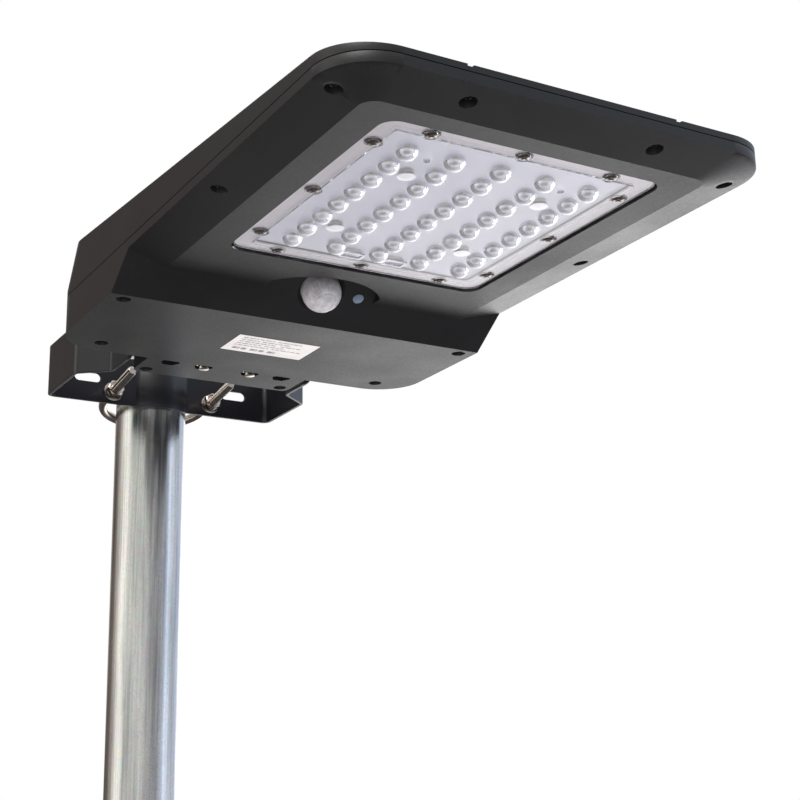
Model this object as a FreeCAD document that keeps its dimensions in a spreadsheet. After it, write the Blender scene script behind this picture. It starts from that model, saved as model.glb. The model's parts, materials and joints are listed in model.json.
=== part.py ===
import FreeCAD, Part
import math
import os
import re

import Sketcher

# Solar street lamp on the top section of its mast.
# Frame: origin at the foot of the mast section, on the mast's axis. +Z runs up the mast, -Y towards the
# lamp's front edge and +X to the side. All sizes are in millimetres.

SIZES = {
    # mast
    "pole_radius": 30.15,
    "pole_wall": 3.6,
    "pole_length": 500.0,
    "cap_height": 6.0,
    # lamp head, plan view (distances in front of the mast's axis are positive)
    "head_front": 635.0,
    "head_rear": 179.0,
    "half_width": 146.0,
    "corner_radius": 35.0,
    "wall": 3.0,
    "band": 30.0,
    "panel_corner": 10.0,
    # lamp head, heights
    "base_level": 415.5,
    "panel_level": 431.0,
    "rim_level": 437.2,
    "seam_level": 443.4,
    "seam_gap": 0.6,
    "front_top": 447.9,
    "rear_top": 480.9,
    "knee_level": 448.7,
    "top_rear": 200.0,
    # slope that carries the sensors, between the LED panel and the battery box
    "slope_front": 325.3,
    "slope_rear": 302.5,
    "scoop_centre": 309.4,
    "scoop_radius": 50.0,
    "scoop_half": 42.5,
    "sensor_front": 327.2,
    "light_offset": 29.5,
    # mounting tongue
    "tongue_half": 67.0,
    "tongue_rear": 131.0,
    "tongue_level": 431.5,
    "tongue_base": 419.5,
    "tongue_corner": 6.0,
    # casing screws
    "casing_hole": 5.15,
    "casing_shank": 1.9,
    "casing_head": 3.6,
    # lens plate and LED field
    "lens_centre": 483.0,
    "lens_half_x": 93.75,
    "lens_half_y": 105.15,
    "lens_corner": 9.5,
    "lens_gap": 1.4,
    "lens_flange": 2.2,
    "flange_level": 432.8,
    "plateau_level": 431.8,
    "plateau_inset": 11.0,
    "ledge_level": 436.0,
    "ledge_top": 439.0,
    "led_pitch_x": 31.6,
    "led_pitch_y": 20.9,
    "dome_radius": 6.6,
    "dome_height": 5.4,
    # solar laminate
    "laminate_inset": 10.0,
    "laminate_depth": 2.6,
    "laminate_corner": 22.0,
    "glass": 1.7,
    "backsheet": 0.3,
    # bracket
    "bracket_level": 422.0,
    "bracket_height": 42.0,
    "sheet": 3.0,
    "bracket_half": 102.0,
    "plate_front": 26.0,
    "arm_front": 95.0,
    "ear_offset": 78.0,
    "ear_bend": 114.0,
    "pivot_front": 148.0,
    "slot_offset": 67.0,
    "slot_length": 23.0,
    "slot_width": 8.0,
    "clamp_gap": 0.3,
    "saddle_flare": 10.0,
    # fasteners
    "bolt_radius": 4.0,
    "bolt_clear": 4.5,
    "u_half": 44.5,
    "u_reach": 48.0,
    "u_rise": 10.0,
    "u_tilt": 8.0,
    "nut_flat": 13.0,
    "nut_height": 6.5,
    "washer_radius": 8.2,
    "washer": 1.6,
    "channel_bolt": 19.7,
    "empty_pocket": 47.5,
    "pocket_front": 163.7,
    # battery box contents
    "cell_radius": 16.0,
    "cell_length": 66.0,
}

ALIAS = re.compile(r"\b(" + "|".join(sorted(SIZES, key=len, reverse=True)) + r")\b")
SHORT = {
    "x": "Placement.Base.x",
    "y": "Placement.Base.y",
    "z": "Placement.Base.z",
    "angle": "Placement.Rotation.Angle",
}
X_AXIS = FreeCAD.Vector(1, 0, 0)
Y_AXIS = FreeCAD.Vector(0, 1, 0)
TURNED = {
    "X": FreeCAD.Rotation(Y_AXIS, 90),
    "Y": FreeCAD.Rotation(X_AXIS, -90),
    "-Y": FreeCAD.Rotation(X_AXIS, 90),
    "-X": FreeCAD.Rotation(Y_AXIS, -90),
    "-Z": FreeCAD.Rotation(X_AXIS, 180),
}

doc = FreeCAD.newDocument("solar_street_lamp")
sheet = doc.addObject("Spreadsheet::Sheet", "Sizes")
for row, (alias, size) in enumerate(SIZES.items(), 1):
    sheet.set(f"A{row}", alias)
    sheet.set(f"B{row}", str(size))
    sheet.setAlias(f"B{row}", alias)
doc.recompute()

nodes = {}


# ---------------------------------------------------------------- helpers

def formula(text):
    """Expression text with each size name pointed at the sheet."""
    return ALIAS.sub(r"Sizes.\1", str(text))


def number(text):
    """Value of a formula, for shapes that no parametric feature makes."""
    return float(sheet.evalExpression(formula(text)))


def bind(item, **formulas):
    """Bind properties of an object to formulas of the sheet's sizes."""
    for name, text in formulas.items():
        item.setExpression(SHORT.get(name, name), formula(text))
    return item


def make(kind, name, axis=None, **formulas):
    """A primitive whose sizes and place follow the sheet; axis turns its own Z."""
    item = doc.addObject(kind, name)
    if axis:
        item.Placement.Rotation = TURNED[axis]
    return bind(item, **formulas)


def box(name, low, size, **extra):
    return make("Part::Box", name, x=low[0], y=low[1], z=low[2],
                Length=size[0], Width=size[1], Height=size[2], **extra)


def wide_box(name, half, y, z, depth, height):
    """A box centred on x = 0."""
    return box(name, (f"-({half})", y, z), (f"2 * ({half})", depth, height))


def rod(name, place, radius, length, axis=None):
    return make("Part::Cylinder", name, axis, x=place[0], y=place[1], z=place[2],
                Radius=radius, Height=length)


def hexagon(name, place, flats, length, axis=None):
    return make("Part::Prism", name, axis, x=place[0], y=place[1], z=place[2],
                Circumradius=f"({flats}) / sqrt(3)", Height=length)


def cut(name, base, tool):
    item = doc.addObject("Part::Cut", name)
    item.Base = base
    item.Tool = tool
    return item


def common(name, base, tool):
    item = doc.addObject("Part::Common", name)
    item.Base = base
    item.Tool = tool
    return item


def fuse(name, items):
    item = doc.addObject("Part::MultiFuse", name)
    item.Shapes = items
    return item


def gather(name, items):
    """Identical pieces kept as separate solids of one node."""
    item = doc.addObject("Part::Compound", name)
    item.Links = items
    return item


def node(name, item):
    """Name a finished sub-part."""
    item.Label = name
    nodes[name] = item
    return item


def from_shape(name, shape):
    """A sub-part whose outline no sketch or primitive gives."""
    item = doc.addObject("Part::Feature", name)
    item.Shape = shape
    return item


def new_sketch(body, plane, level="0"):
    """A sketch on one of the body's own origin planes, moved along its normal."""
    sketch = body.newObject("Sketcher::SketchObject", body.Name + "_sketch")
    support = [item for item in body.Origin.OriginFeatures if item.Role == plane]
    sketch.AttachmentSupport = [(support[0], "")]
    sketch.MapMode = "FlatFace"
    sketch.setExpression("AttachmentOffset.Base.z", formula(level))
    return sketch


def bound(sketch, kind, *refs):
    """Add a constraint whose value, the last of refs, is a formula."""
    *places, text = refs
    index = sketch.addConstraint(Sketcher.Constraint(kind, *places, number(text)))
    sketch.setExpression(f"Constraints[{index}]", formula(text))


def rounded_rectangle(sketch, half, low, high, radius):
    """Rectangle centred on x = 0 between y = low and y = high, with round corners."""
    x, y0, y1, r = number(half), number(low), number(high), number(radius)
    vector = FreeCAD.Vector
    corners = [(-x, y0, 180), (x, y0, 270), (x, y1, 0), (-x, y1, 90)]
    sides = []
    arcs = []
    for index, (cx, cy, start) in enumerate(corners):
        nx, ny, _ = corners[(index + 1) % 4]
        dx = (nx > cx) - (nx < cx)
        dy = (ny > cy) - (ny < cy)
        line = Part.LineSegment(vector(cx + r * dx, cy + r * dy, 0), vector(nx - r * dx, ny - r * dy, 0))
        sides.append(sketch.addGeometry(line))
        centre = vector(cx - r * math.copysign(1, cx), cy + r * (1 if index < 2 else -1), 0)
        circle = Part.Circle(centre, vector(0, 0, 1), r)
        arc = Part.ArcOfCircle(circle, math.radians(start), math.radians(start + 90))
        arcs.append(sketch.addGeometry(arc))
    for index in range(4):
        before = sides[index - 1]
        sketch.addConstraint(Sketcher.Constraint("Tangent", before, 2, arcs[index], 1))
        sketch.addConstraint(Sketcher.Constraint("Tangent", arcs[index], 2, sides[index], 1))
    for index in (1, 2, 3):
        sketch.addConstraint(Sketcher.Constraint("Equal", arcs[0], arcs[index]))
    for index, kind in ((0, "Horizontal"), (1, "Vertical"), (2, "Horizontal"), (3, "Vertical")):
        sketch.addConstraint(Sketcher.Constraint(kind, sides[index]))
    bound(sketch, "Radius", arcs[0], radius)
    bound(sketch, "DistanceY", -1, 1, sides[0], 1, low)
    bound(sketch, "DistanceX", -1, 1, sides[1], 1, half)
    bound(sketch, "DistanceY", -1, 1, sides[2], 1, high)
    bound(sketch, "DistanceX", -1, 1, sides[3], 1, f"-({half})")


def polygon(sketch, points):
    """Closed polygon whose corners follow formulas."""
    places = [FreeCAD.Vector(number(u), number(v), 0) for u, v in points]
    lines = []
    for start, end in zip(places, places[1:] + places[:1]):
        lines.append(sketch.addGeometry(Part.LineSegment(start, end)))
    for index, line in enumerate(lines):
        sketch.addConstraint(Sketcher.Constraint("Coincident", lines[index - 1], 2, line, 1))
        bound(sketch, "DistanceX", -1, 1, line, 1, points[index][0])
        bound(sketch, "DistanceY", -1, 1, line, 1, points[index][1])


def slab(name, half, low, high, radius, level, height):
    """Flat block with round corners, padded up from a level."""
    body = doc.addObject("PartDesign::Body", name)
    sketch = new_sketch(body, "XY_Plane", level)
    rounded_rectangle(sketch, half, low, high, radius)
    pad = body.newObject("PartDesign::Pad", name + "_pad")
    pad.Profile = sketch
    pad.setExpression("Length", formula(height))
    return body


def frustum(name, lower, upper):
    """Solid between two rounded rectangles, each (half, low, high, radius, level)."""
    body = doc.addObject("PartDesign::Body", name)
    sketches = []
    for half, low, high, radius, level in (lower, upper):
        sketch = new_sketch(body, "XY_Plane", level)
        rounded_rectangle(sketch, half, low, high, radius)
        sketches.append(sketch)
    loft = body.newObject("PartDesign::AdditiveLoft", name + "_loft")
    loft.Profile = sketches[0]
    loft.Sections = [sketches[1]]
    loft.Ruled = True
    return body


def side_profile(name, points, half):
    """Prism across the lamp from a polygon of (y, z) corners."""
    body = doc.addObject("PartDesign::Body", name)
    sketch = new_sketch(body, "YZ_Plane")
    polygon(sketch, points)
    pad = body.newObject("PartDesign::Pad", name + "_pad")
    pad.Profile = sketch
    pad.SideType = "Symmetric"
    pad.setExpression("Length", formula(f"2 * ({half})"))
    return body


def mirrored(points):
    """Each (x, y) of a list and its mirror image across x = 0."""
    pairs = []
    for x, y in points:
        pairs.append((f"-({x})", y))
        pairs.append((x, y))
    return pairs


# ---------------------------------------------------------------- shared measures

SLOPE = "((panel_level - base_level) / (slope_front - slope_rear))"
RISE = f"(wall * sqrt(1 + {SLOPE}^2))"
TOP_SLOPE = "((rear_top - front_top) / (head_front - top_rear))"
TOP_LENGTH = "sqrt((head_front - top_rear)^2 + (rear_top - front_top)^2)"
SHELF = "(laminate_depth + 1.8)"
INNER_TOP = f"(front_top - {SHELF})"
UPPER_LEVEL = "(seam_level + seam_gap)"
SEAT_LEVEL = "(seam_level - 3.9)"
TONGUE_SEAT = "(tongue_level - 4.5)"
PIVOT_LEVEL = "(bracket_level + bracket_height / 2)"
CHANNEL_HALF = "(ear_offset - sheet - 0.5)"

BAND_SCREWS = [("132.8", "-599.5"), ("133.6", "-453.1"), ("62.9", "-620.2")]
BOX_SCREWS = [("134.1", "-294.1"), ("115.3", "-197.3")]
CASING_SCREWS = mirrored(BAND_SCREWS + BOX_SCREWS)
TONGUE_SCREWS = mirrored([("58.2", "-139.2")])
LENS_SCREWS = mirrored([("85.6", "-(lens_centre + 74)"), ("85.6", "-lens_centre"),
                        ("85.6", "-(lens_centre - 74)"),
                        ("62", "-(lens_centre + 97.6)"), ("62", "-(lens_centre - 97.6)")])
LENS_SCREWS += [("0", "-(lens_centre + 97.6)"), ("0", "-(lens_centre - 97.6)")]
SPREADER_SCREWS = mirrored([("86", "-(lens_centre + 37)"), ("86", "-(lens_centre - 37)")])
BOARD_POSTS = mirrored([("56", "-294"), ("56", "-267")])


def plan_slab(name, inset, level, height):
    """Block with the head's plan outline, smaller all round by an inset."""
    return slab(name, f"half_width - {inset}", f"-(head_front - {inset})", f"-(head_rear + {inset})",
                f"corner_radius - {inset}", level, height)


def lens_slab(name, grow, level, height):
    """Block with the lens plate's outline, larger all round by grow."""
    return slab(name, f"lens_half_x + {grow}", f"-(lens_centre + lens_half_y + {grow})",
                f"-(lens_centre - lens_half_y - {grow})", f"max(lens_corner + {grow}; 2)", level, height)


def on_slope(kind, name, x, depth, **formulas):
    """A round primitive whose axis is square to the sensor slope; depth runs into the lamp."""
    item = doc.addObject(kind, name)
    item.Placement.Rotation = FreeCAD.Rotation(X_AXIS, -1)
    level = f"(panel_level + (sensor_front - slope_front) * {SLOPE})"
    return bind(item, x=x, y=f"-sensor_front + ({depth}) * sin(atan({SLOPE}))",
                z=f"{level} + ({depth}) * cos(atan({SLOPE}))", angle=f"-atan({SLOPE})", **formulas)


def slope_rod(name, x, depth, radius, length):
    return on_slope("Part::Cylinder", name, x, depth, Radius=radius, Height=length)


def on_top(item):
    """Lay a block, drawn flat from the front edge backwards, on the head's sloping top."""
    item.Placement.Rotation = FreeCAD.Rotation(X_AXIS, 1)
    return bind(item, y="-head_front", z="front_top", angle=f"atan({TOP_SLOPE})")


def top_slab(name, inset, level, height):
    return on_top(slab(name, f"half_width - {inset}", inset, f"{TOP_LENGTH} - {inset}",
                       f"laminate_corner + laminate_inset - {inset}", level, height))


def upright_rods(name, places, radius, level, height):
    """Equal upright rods at (x, y) places."""
    return [rod(f"{name}_{index}", (x, y, level), radius, height) for index, (x, y) in enumerate(places, 1)]


def pan_screws(name, places, seat, head_radius, head_height, shank_radius, length, recess):
    """Pan-head screws driven upwards from a seat level, with a cross recess in each head."""
    screws = []
    for index, (x, y) in enumerate(places, 1):
        tag = f"{name}_{index}"
        head = rod(tag + "_head", (x, y, f"{seat} - {head_height}"), head_radius, head_height)
        shank = rod(tag + "_shank", (x, y, seat), shank_radius, length)
        bars = []
        for turn, (long, wide) in enumerate(((recess, f"{recess} / 4"), (f"{recess} / 4", recess))):
            low = (f"{x} - ({long}) / 2", f"{y} - ({wide}) / 2", f"{seat} - {head_height}")
            bars.append(box(f"{tag}_bar_{turn}", low, (long, wide, f"{head_height} / 2")))
        screws.append(cut(tag, fuse(tag + "_blank", [head, shank]), fuse(tag + "_cross", bars)))
    return node(name, gather(name, screws))


def rounded_path(points, bend):
    """Straight edges joined by tangent arcs; bend gives each corner's radius."""
    edges = []
    start = points[0]
    for before, corner, after in zip(points, points[1:], points[2:]):
        back = (before - corner).normalize()
        ahead = (after - corner).normalize()
        half_turn = (math.pi - back.getAngle(ahead)) / 2
        radius = bend(before, corner, after, half_turn)
        reach = radius * math.tan(half_turn)
        middle = (back + ahead).normalize()
        centre = corner + middle * (radius / math.cos(half_turn))
        first = corner + back * reach
        last = corner + ahead * reach
        edges.append(Part.LineSegment(start, first).toShape())
        edges.append(Part.Arc(first, centre - middle * radius, last).toShape())
        start = last
    edges.append(Part.LineSegment(start, points[-1]).toShape())
    return edges


# ---------------------------------------------------------------- mast

def build_mast():
    outside = rod("pole_outside", ("0", "0", "0"), "pole_radius", "pole_length")
    bore = rod("pole_bore", ("0", "0", "-1"), "pole_radius - pole_wall", "pole_length + 2")
    node("pole", cut("pole_tube", outside, bore))
    rim = rod("cap_rim", ("0", "0", "pole_length"), "pole_radius - 0.2", "cap_height / 2")
    plug = rod("cap_plug", ("0", "0", "pole_length - 2 * cap_height"), "pole_radius - pole_wall - 0.1",
               "2 * cap_height + 0.5")
    hollow = rod("cap_hollow", ("0", "0", "pole_length - 2 * cap_height - 1"),
                 "pole_radius - 2 * pole_wall", "2 * cap_height")
    node("pole_cap", cut("cap_body", fuse("cap_blank", [rim, plug]), hollow))


# ---------------------------------------------------------------- clamp bracket and U-bolts

def bracket_strip():
    """The bent sheet: saddle round the mast, flat plate, arms, and ears that run forward."""
    sheet_half = number("sheet / 2")
    bend = number("2 * sheet")
    flare = number("saddle_flare")
    plate = -number("plate_front") + sheet_half
    saddle = number("pole_radius + clamp_gap") + sheet_half
    centre_y = plate - flare
    centre_x = math.sqrt((saddle + flare) ** 2 - centre_y ** 2)
    touch = FreeCAD.Vector(centre_x, centre_y, 0) * (saddle / (saddle + flare))
    lean = math.atan2(touch.x, -touch.y) / 2
    middle = FreeCAD.Vector(centre_x - flare * math.sin(lean), centre_y + flare * math.cos(lean), 0)
    side = [
        FreeCAD.Vector(centre_x, plate, 0),
        FreeCAD.Vector(number("bracket_half") - sheet_half, plate, 0),
        FreeCAD.Vector(number("bracket_half") - sheet_half, -number("arm_front"), 0),
        FreeCAD.Vector(number("ear_offset") - sheet_half, -number("ear_bend"), 0),
        FreeCAD.Vector(number("ear_offset") - sheet_half, -number("pivot_front + bracket_height"), 0),
    ]
    right = [Part.Arc(touch, middle, side[0]).toShape()]
    right += rounded_path(side, lambda before, corner, after, half_turn: bend)
    left = [edge.mirror(FreeCAD.Vector(), X_AXIS) for edge in right]
    crown = Part.Arc(FreeCAD.Vector(-touch.x, touch.y, 0), FreeCAD.Vector(0, -saddle, 0), touch).toShape()
    line = Part.Wire(Part.__sortEdges__(left + [crown] + right))
    edge_line = line.makeOffset2D(sheet_half, openResult=True)
    face = edge_line.makeOffset2D(-2 * sheet_half, openResult=True, fill=True)
    face.translate(FreeCAD.Vector(0, 0, number("bracket_level")))
    return from_shape("bracket_strip", face.extrude(FreeCAD.Vector(0, 0, number("bracket_height"))))


def build_bracket():
    strip = bracket_strip()
    reach = wide_box("bracket_reach", "bracket_half", "-pivot_front", "bracket_level", "pivot_front",
                     "bracket_height")
    round_end = rod("bracket_round_end", ("-bracket_half", "-pivot_front", PIVOT_LEVEL),
                    "bracket_height / 2",
                    "2 * bracket_half", "X")
    blank = common("bracket_blank", strip, fuse("bracket_side_view", [reach, round_end]))
    holes = [rod("bracket_pivot_hole", ("-bracket_half", "-pivot_front", PIVOT_LEVEL), "bolt_radius + 0.05",
                 "2 * bracket_half", "X")]
    for tag, side in (("left", "-"), ("right", "")):
        holes.append(rod(f"bracket_hole_{tag}",
                         (f"{side}u_half", "-plate_front - 1", "bracket_level + u_rise"),
                         "bolt_clear", "sheet + 2", "Y"))
    for side in ("-1", "1"):
        tag = "left" if side == "-1" else "right"
        run = "(slot_length - slot_width)"
        centre = f"{side} * slot_offset"
        holes.append(box(f"slot_{tag}_middle", (f"{centre} - {run} / 2", "-plate_front - 1",
                         f"{PIVOT_LEVEL} - slot_width / 2"), (run, "sheet + 2", "slot_width")))
        for end in ("-1", "1"):
            name = f"slot_{tag}_end_" + ("in" if end == side else "out")
            holes.append(rod(name, (f"{centre} + {end} * {run} / 2", "-plate_front - 1", PIVOT_LEVEL),
                             "slot_width / 2", "sheet + 2", "Y"))
    node("clamp_bracket", cut("bracket_body", blank, fuse("bracket_holes", holes)))


def along_bolt(item, place, depth):
    """Put a primitive on a leg of the U-bolt, which slopes down behind the plate; depth runs rearwards."""
    item.Placement.Rotation = FreeCAD.Rotation(X_AXIS, -1)
    return bind(item, x=place, y=f"-plate_front + sheet / 2 + ({depth}) * cos(u_tilt)",
                z=f"bracket_level + u_rise - ({depth}) * sin(u_tilt)", angle="-90 - u_tilt")


def build_u_bolt():
    heel = "((pole_radius + bolt_radius + clamp_gap + plate_front - sheet / 2) / cos(u_tilt) - u_half)"
    nut_seat = "(sheet / 2 + washer + 1.1)"
    parts = []
    washers = []
    nuts = []
    for tag, place in (("left", "-u_half"), ("right", "u_half")):
        leg = make("Part::Cylinder", f"leg_{tag}", Radius="bolt_radius", Height=f"u_reach + {heel}")
        parts.append(along_bolt(leg, place, "-u_reach"))
        disc = rod(f"u_disc_{tag}", (place, "-plate_front - washer", "bracket_level + u_rise"),
                   "washer_radius",
                   "washer", "Y")
        hole = rod(f"u_disc_hole_{tag}", (place, "-plate_front - 5", "bracket_level + u_rise + 0.3"),
                   "bolt_radius + 0.6", "10", "Y")
        washers.append(cut(f"u_washer_{tag}", disc, hole))
        nut = make("Part::Prism", f"u_hex_{tag}", Circumradius="nut_flat / sqrt(3)", Height="nut_height")
        core = make("Part::Cylinder", f"u_core_{tag}", Radius="bolt_radius", Height="20")
        nuts.append(cut(f"u_nut_{tag}", along_bolt(nut, place, f"-{nut_seat} - nut_height"),
                        along_bolt(core, place, "-20")))
    bend = along_bolt(make("Part::Torus", "u_bend", Radius1="u_half", Radius2="bolt_radius"), "0", heel)
    bend.Angle3 = 180
    bind(bend, angle="-u_tilt")
    parts.append(bend)
    node("u_bolt", fuse("u_bolt_body", parts))
    node("u_bolt_washers", gather("u_washer_set", washers))
    node("u_bolt_nuts", gather("u_nut_set", nuts))


# ---------------------------------------------------------------- tilt channel, its bolts and the pivots

def build_channel():
    rear = "-(tongue_rear - 1)"
    front = "-(head_rear - 3)"
    base = wide_box("channel_base", CHANNEL_HALF, front, "tongue_level", f"{rear} - ({front})", "sheet")
    pieces = [base]
    for tag, low in (("left", f"-{CHANNEL_HALF}"), ("right", f"{CHANNEL_HALF} - sheet")):
        pieces.append(box(f"channel_side_{tag}", (low, "-(pivot_front + 16)", "tongue_level"),
                          ("sheet", f"{rear} + pivot_front + 16", f"{PIVOT_LEVEL} - tongue_level")))
        pieces.append(rod(f"channel_ear_{tag}", (low, "-pivot_front", PIVOT_LEVEL), "16", "sheet", "X"))
    holes = [rod("channel_pivot_hole", (f"-{CHANNEL_HALF} - 1", "-pivot_front", PIVOT_LEVEL), "bolt_radius",
                 f"2 * {CHANNEL_HALF} + 2", "X")]
    bolts = mirrored([("channel_bolt", "-pocket_front"), ("empty_pocket", "-pocket_front")])
    holes += upright_rods("channel_bolt_hole", bolts, "bolt_radius", "tongue_level - 1", "sheet + 2")
    holes += upright_rods("channel_screw_hole", TONGUE_SCREWS, "casing_shank", "tongue_level - 1",
                          "sheet + 2")
    node("tilt_channel", cut("channel_body", fuse("channel_blank", pieces), fuse("channel_holes", holes)))


def build_channel_bolts():
    top = "(tongue_level + sheet)"
    groups = {"channel_bolts": [], "channel_washers": [], "channel_nuts": []}
    for index, (x, y) in enumerate(mirrored([("channel_bolt", "-pocket_front")]), 1):
        shank = rod(f"channel_shank_{index}", (x, y, "tongue_base - 2"), "bolt_radius",
                    f"{top} + washer - tongue_base + 2.5")
        head = hexagon(f"channel_head_{index}", (x, y, f"{top} + washer"), "nut_flat", "5.3")
        groups["channel_bolts"].append(fuse(f"channel_bolt_{index}", [shank, head]))
        core = rod(f"channel_core_{index}", (x, y, "base_level"), "bolt_radius", "40")
        washer = rod(f"channel_disc_{index}", (x, y, top), "washer_radius", "washer")
        groups["channel_washers"].append(cut(f"channel_washer_{index}", washer, core))
        nut = hexagon(f"channel_hex_{index}", (x, y, "tongue_base + 1.5"), "nut_flat", "nut_height")
        groups["channel_nuts"].append(cut(f"channel_nut_{index}", nut, core))
    for label, items in groups.items():
        node(label, gather(label, items))


def build_pivots():
    outer = "(ear_offset + 0.3)"
    inner = f"({CHANNEL_HALF} - sheet)"
    groups = {"pivot_bolts": [], "pivot_washers": [], "pivot_nuts": []}
    for tag, axis, side in (("left", "-X", "-"), ("right", "X", "")):
        place = ("-pivot_front", PIVOT_LEVEL)
        shank = rod(f"pivot_shank_{tag}", (f"{side}({inner} - 10)", *place), "bolt_radius",
                    f"{outer} + washer - {inner} + 10.5", axis)
        head = hexagon(f"pivot_head_{tag}", (f"{side}({outer} + washer)", *place), "nut_flat", "5.3", axis)
        groups["pivot_bolts"].append(fuse(f"pivot_bolt_{tag}", [shank, head]))
        core = rod(f"pivot_core_{tag}", (f"{side}({inner} - 20)", *place), "bolt_radius", "60", axis)
        washer = rod(f"pivot_disc_{tag}", (f"{side}{outer}", *place), "washer_radius", "washer", axis)
        groups["pivot_washers"].append(cut(f"pivot_washer_{tag}", washer, core))
        nut = hexagon(f"pivot_hex_{tag}", (f"{side}({inner} - nut_height)", *place), "nut_flat",
                      "nut_height", axis)
        groups["pivot_nuts"].append(cut(f"pivot_nut_{tag}", nut, core))
    for label, items in groups.items():
        node(label, gather(label, items))


# ---------------------------------------------------------------- lower casing

def scoop(name, grow, rise):
    """Arch-shaped hollow above the panel, floored by the sensor slope; grow and rise make its wall."""
    drum = rod(name + "_drum", ("0", "-scoop_centre", "base_level"), f"scoop_radius + {grow}", "60")
    strip = wide_box(name + "_strip", f"scoop_half + {grow}", "-scoop_centre - 70", "base_level", "90", "60")
    far = "(scoop_centre + 70)"
    wedge = side_profile(name + "_wedge", [
        ("-slope_rear", "base_level - 1"),
        ("-slope_rear", f"base_level + {rise}"),
        (f"-{far}", f"base_level + {rise} + ({far} - slope_rear) * {SLOPE}"),
        (f"-{far}", "base_level - 1"),
    ], "half_width")
    return common(name, common(name + "_arch", drum, strip), wedge)


def build_lower_housing():
    rim_front = f"(slope_front + (rim_level - panel_level) / {SLOPE})"
    rim = plan_slab("rim", "0", "rim_level", "seam_level - rim_level")
    band = frustum(
        "band",
        ("half_width - band", "-(head_front - band)", "-slope_rear", "panel_corner", "panel_level"),
        ("half_width", "-head_front", "-slope_rear + band", "corner_radius", "rim_level"),
    )
    box_side = side_profile("box_side", [
        (f"-{rim_front}", "rim_level"),
        ("-slope_rear", "base_level"),
        ("-head_rear", "base_level"),
        ("-head_rear", "seam_level"),
        (f"-{rim_front}", "seam_level"),
    ], "half_width")
    block = common("box_block", box_side,
                   plan_slab("box_plan", "0", "base_level", "seam_level - base_level"))
    tongue = slab("tongue", "tongue_half", "-(head_rear + 2 * tongue_corner)", "-tongue_rear",
                  "tongue_corner",
                  "tongue_base", "tongue_level - tongue_base")
    outside = fuse("lower_outside", [rim, band, block, tongue])

    inner = "half_width - wall"
    low_hollow = frustum(
        "low_hollow",
        ("half_width - band", "-(head_front - band)", "-slope_rear", "panel_corner", "panel_level + wall"),
        (inner, "-(head_front - wall)", "-slope_rear + band", "corner_radius - wall", "rim_level + wall"),
    )
    top_hollow = plan_slab("top_hollow", "wall", "rim_level + wall", "seam_level - rim_level")
    box_inner = side_profile("box_inner", [
        (f"-(slope_rear + (panel_level + wall - base_level - {RISE}) / {SLOPE})", "panel_level + wall"),
        (f"-(slope_rear + (wall - {RISE}) / {SLOPE})", "base_level + wall"),
        ("-(head_rear + wall)", "base_level + wall"),
        ("-(head_rear + wall)", "seam_level + 1"),
        (f"-(slope_rear + (panel_level + wall - base_level - {RISE}) / {SLOPE})", "seam_level + 1"),
    ], inner)
    box_hollow = common("box_hollow", box_inner, plan_slab("box_hollow_plan", "wall", "base_level", "60"))
    hollow = fuse("lower_hollow", [low_hollow, top_hollow, box_hollow])
    bosses = upright_rods("lower_boss", CASING_SCREWS, "7.5", "base_level", "seam_level - base_level")
    bosses.append(lens_slab("lens_frame", "(lens_gap + wall)", "panel_level", "ledge_top - panel_level"))
    bosses += upright_rods("board_post", BOARD_POSTS, "3", "base_level", "wall + 6")
    shell = cut("lower_shell", outside, cut("lower_space", hollow, fuse("lower_bosses", bosses)))
    scoop_wall = cut("scoop_wall", scoop("scoop_outer", "wall", RISE), wide_box(
        "scoop_floor", "half_width", "-head_front", "base_level - 2", "head_front",
        "panel_level - base_level + 2"))
    sensor_boss = slope_rod("sensor_boss", "0", "0.5", "22", "7.5")
    light_boss = slope_rod("light_boss", "light_offset", "0.5", "8", "7.5")
    blank = fuse("lower_blank", [shell, scoop_wall, sensor_boss, light_boss])

    holes = [
        lens_slab("lens_recess", "lens_gap", "panel_level - 1", "ledge_level - panel_level + 1"),
        lens_slab("lens_opening", "(-plateau_inset)", "panel_level", "ledge_top - panel_level + 1"),
        scoop("scoop_space", "0", "0"),
        on_slope("Part::Cone", "sensor_recess", "0", "-0.5", Radius1="18.3", Radius2="15.5", Height="5"),
        slope_rod("sensor_hole", "0", "0", "14.3", "12"),
        slope_rod("light_hole", "light_offset", "-4", "4.2", "16"),
    ]
    holes += upright_rods("lens_screw_hole", LENS_SCREWS, "1.6", "ledge_level - 1", "3.2")
    holes += upright_rods("spreader_screw_hole", SPREADER_SCREWS, "1.2", "ledge_top - 2", "3")
    holes += upright_rods("post_hole", BOARD_POSTS, "1.2", "base_level + wall + 1", "6")
    holes += upright_rods("casing_recess", CASING_SCREWS, "casing_hole", "base_level - 1",
                          f"{SEAT_LEVEL} - base_level + 1")
    holes += upright_rods("casing_hole", CASING_SCREWS, "casing_shank", "base_level", "40")
    holes += upright_rods("tongue_recess", TONGUE_SCREWS, "casing_hole", "base_level - 1",
                          f"{TONGUE_SEAT} - base_level + 1")
    holes += upright_rods("tongue_hole", TONGUE_SCREWS, "casing_shank", "base_level", "20")
    pockets = mirrored([("channel_bolt", "-pocket_front"), ("empty_pocket", "-pocket_front")])
    for index, (x, y) in enumerate(pockets, 1):
        holes.append(hexagon(f"pocket_{index}", (x, y, "tongue_base - 1"), "nut_flat + 0.6",
                             "nut_height + 2.5"))
    holes += upright_rods("pocket_hole", pockets, "bolt_radius", "base_level", "20")
    node("lower_housing", cut("lower_body", blank, fuse("lower_holes", holes)))


# ---------------------------------------------------------------- upper casing and seam gasket

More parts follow.
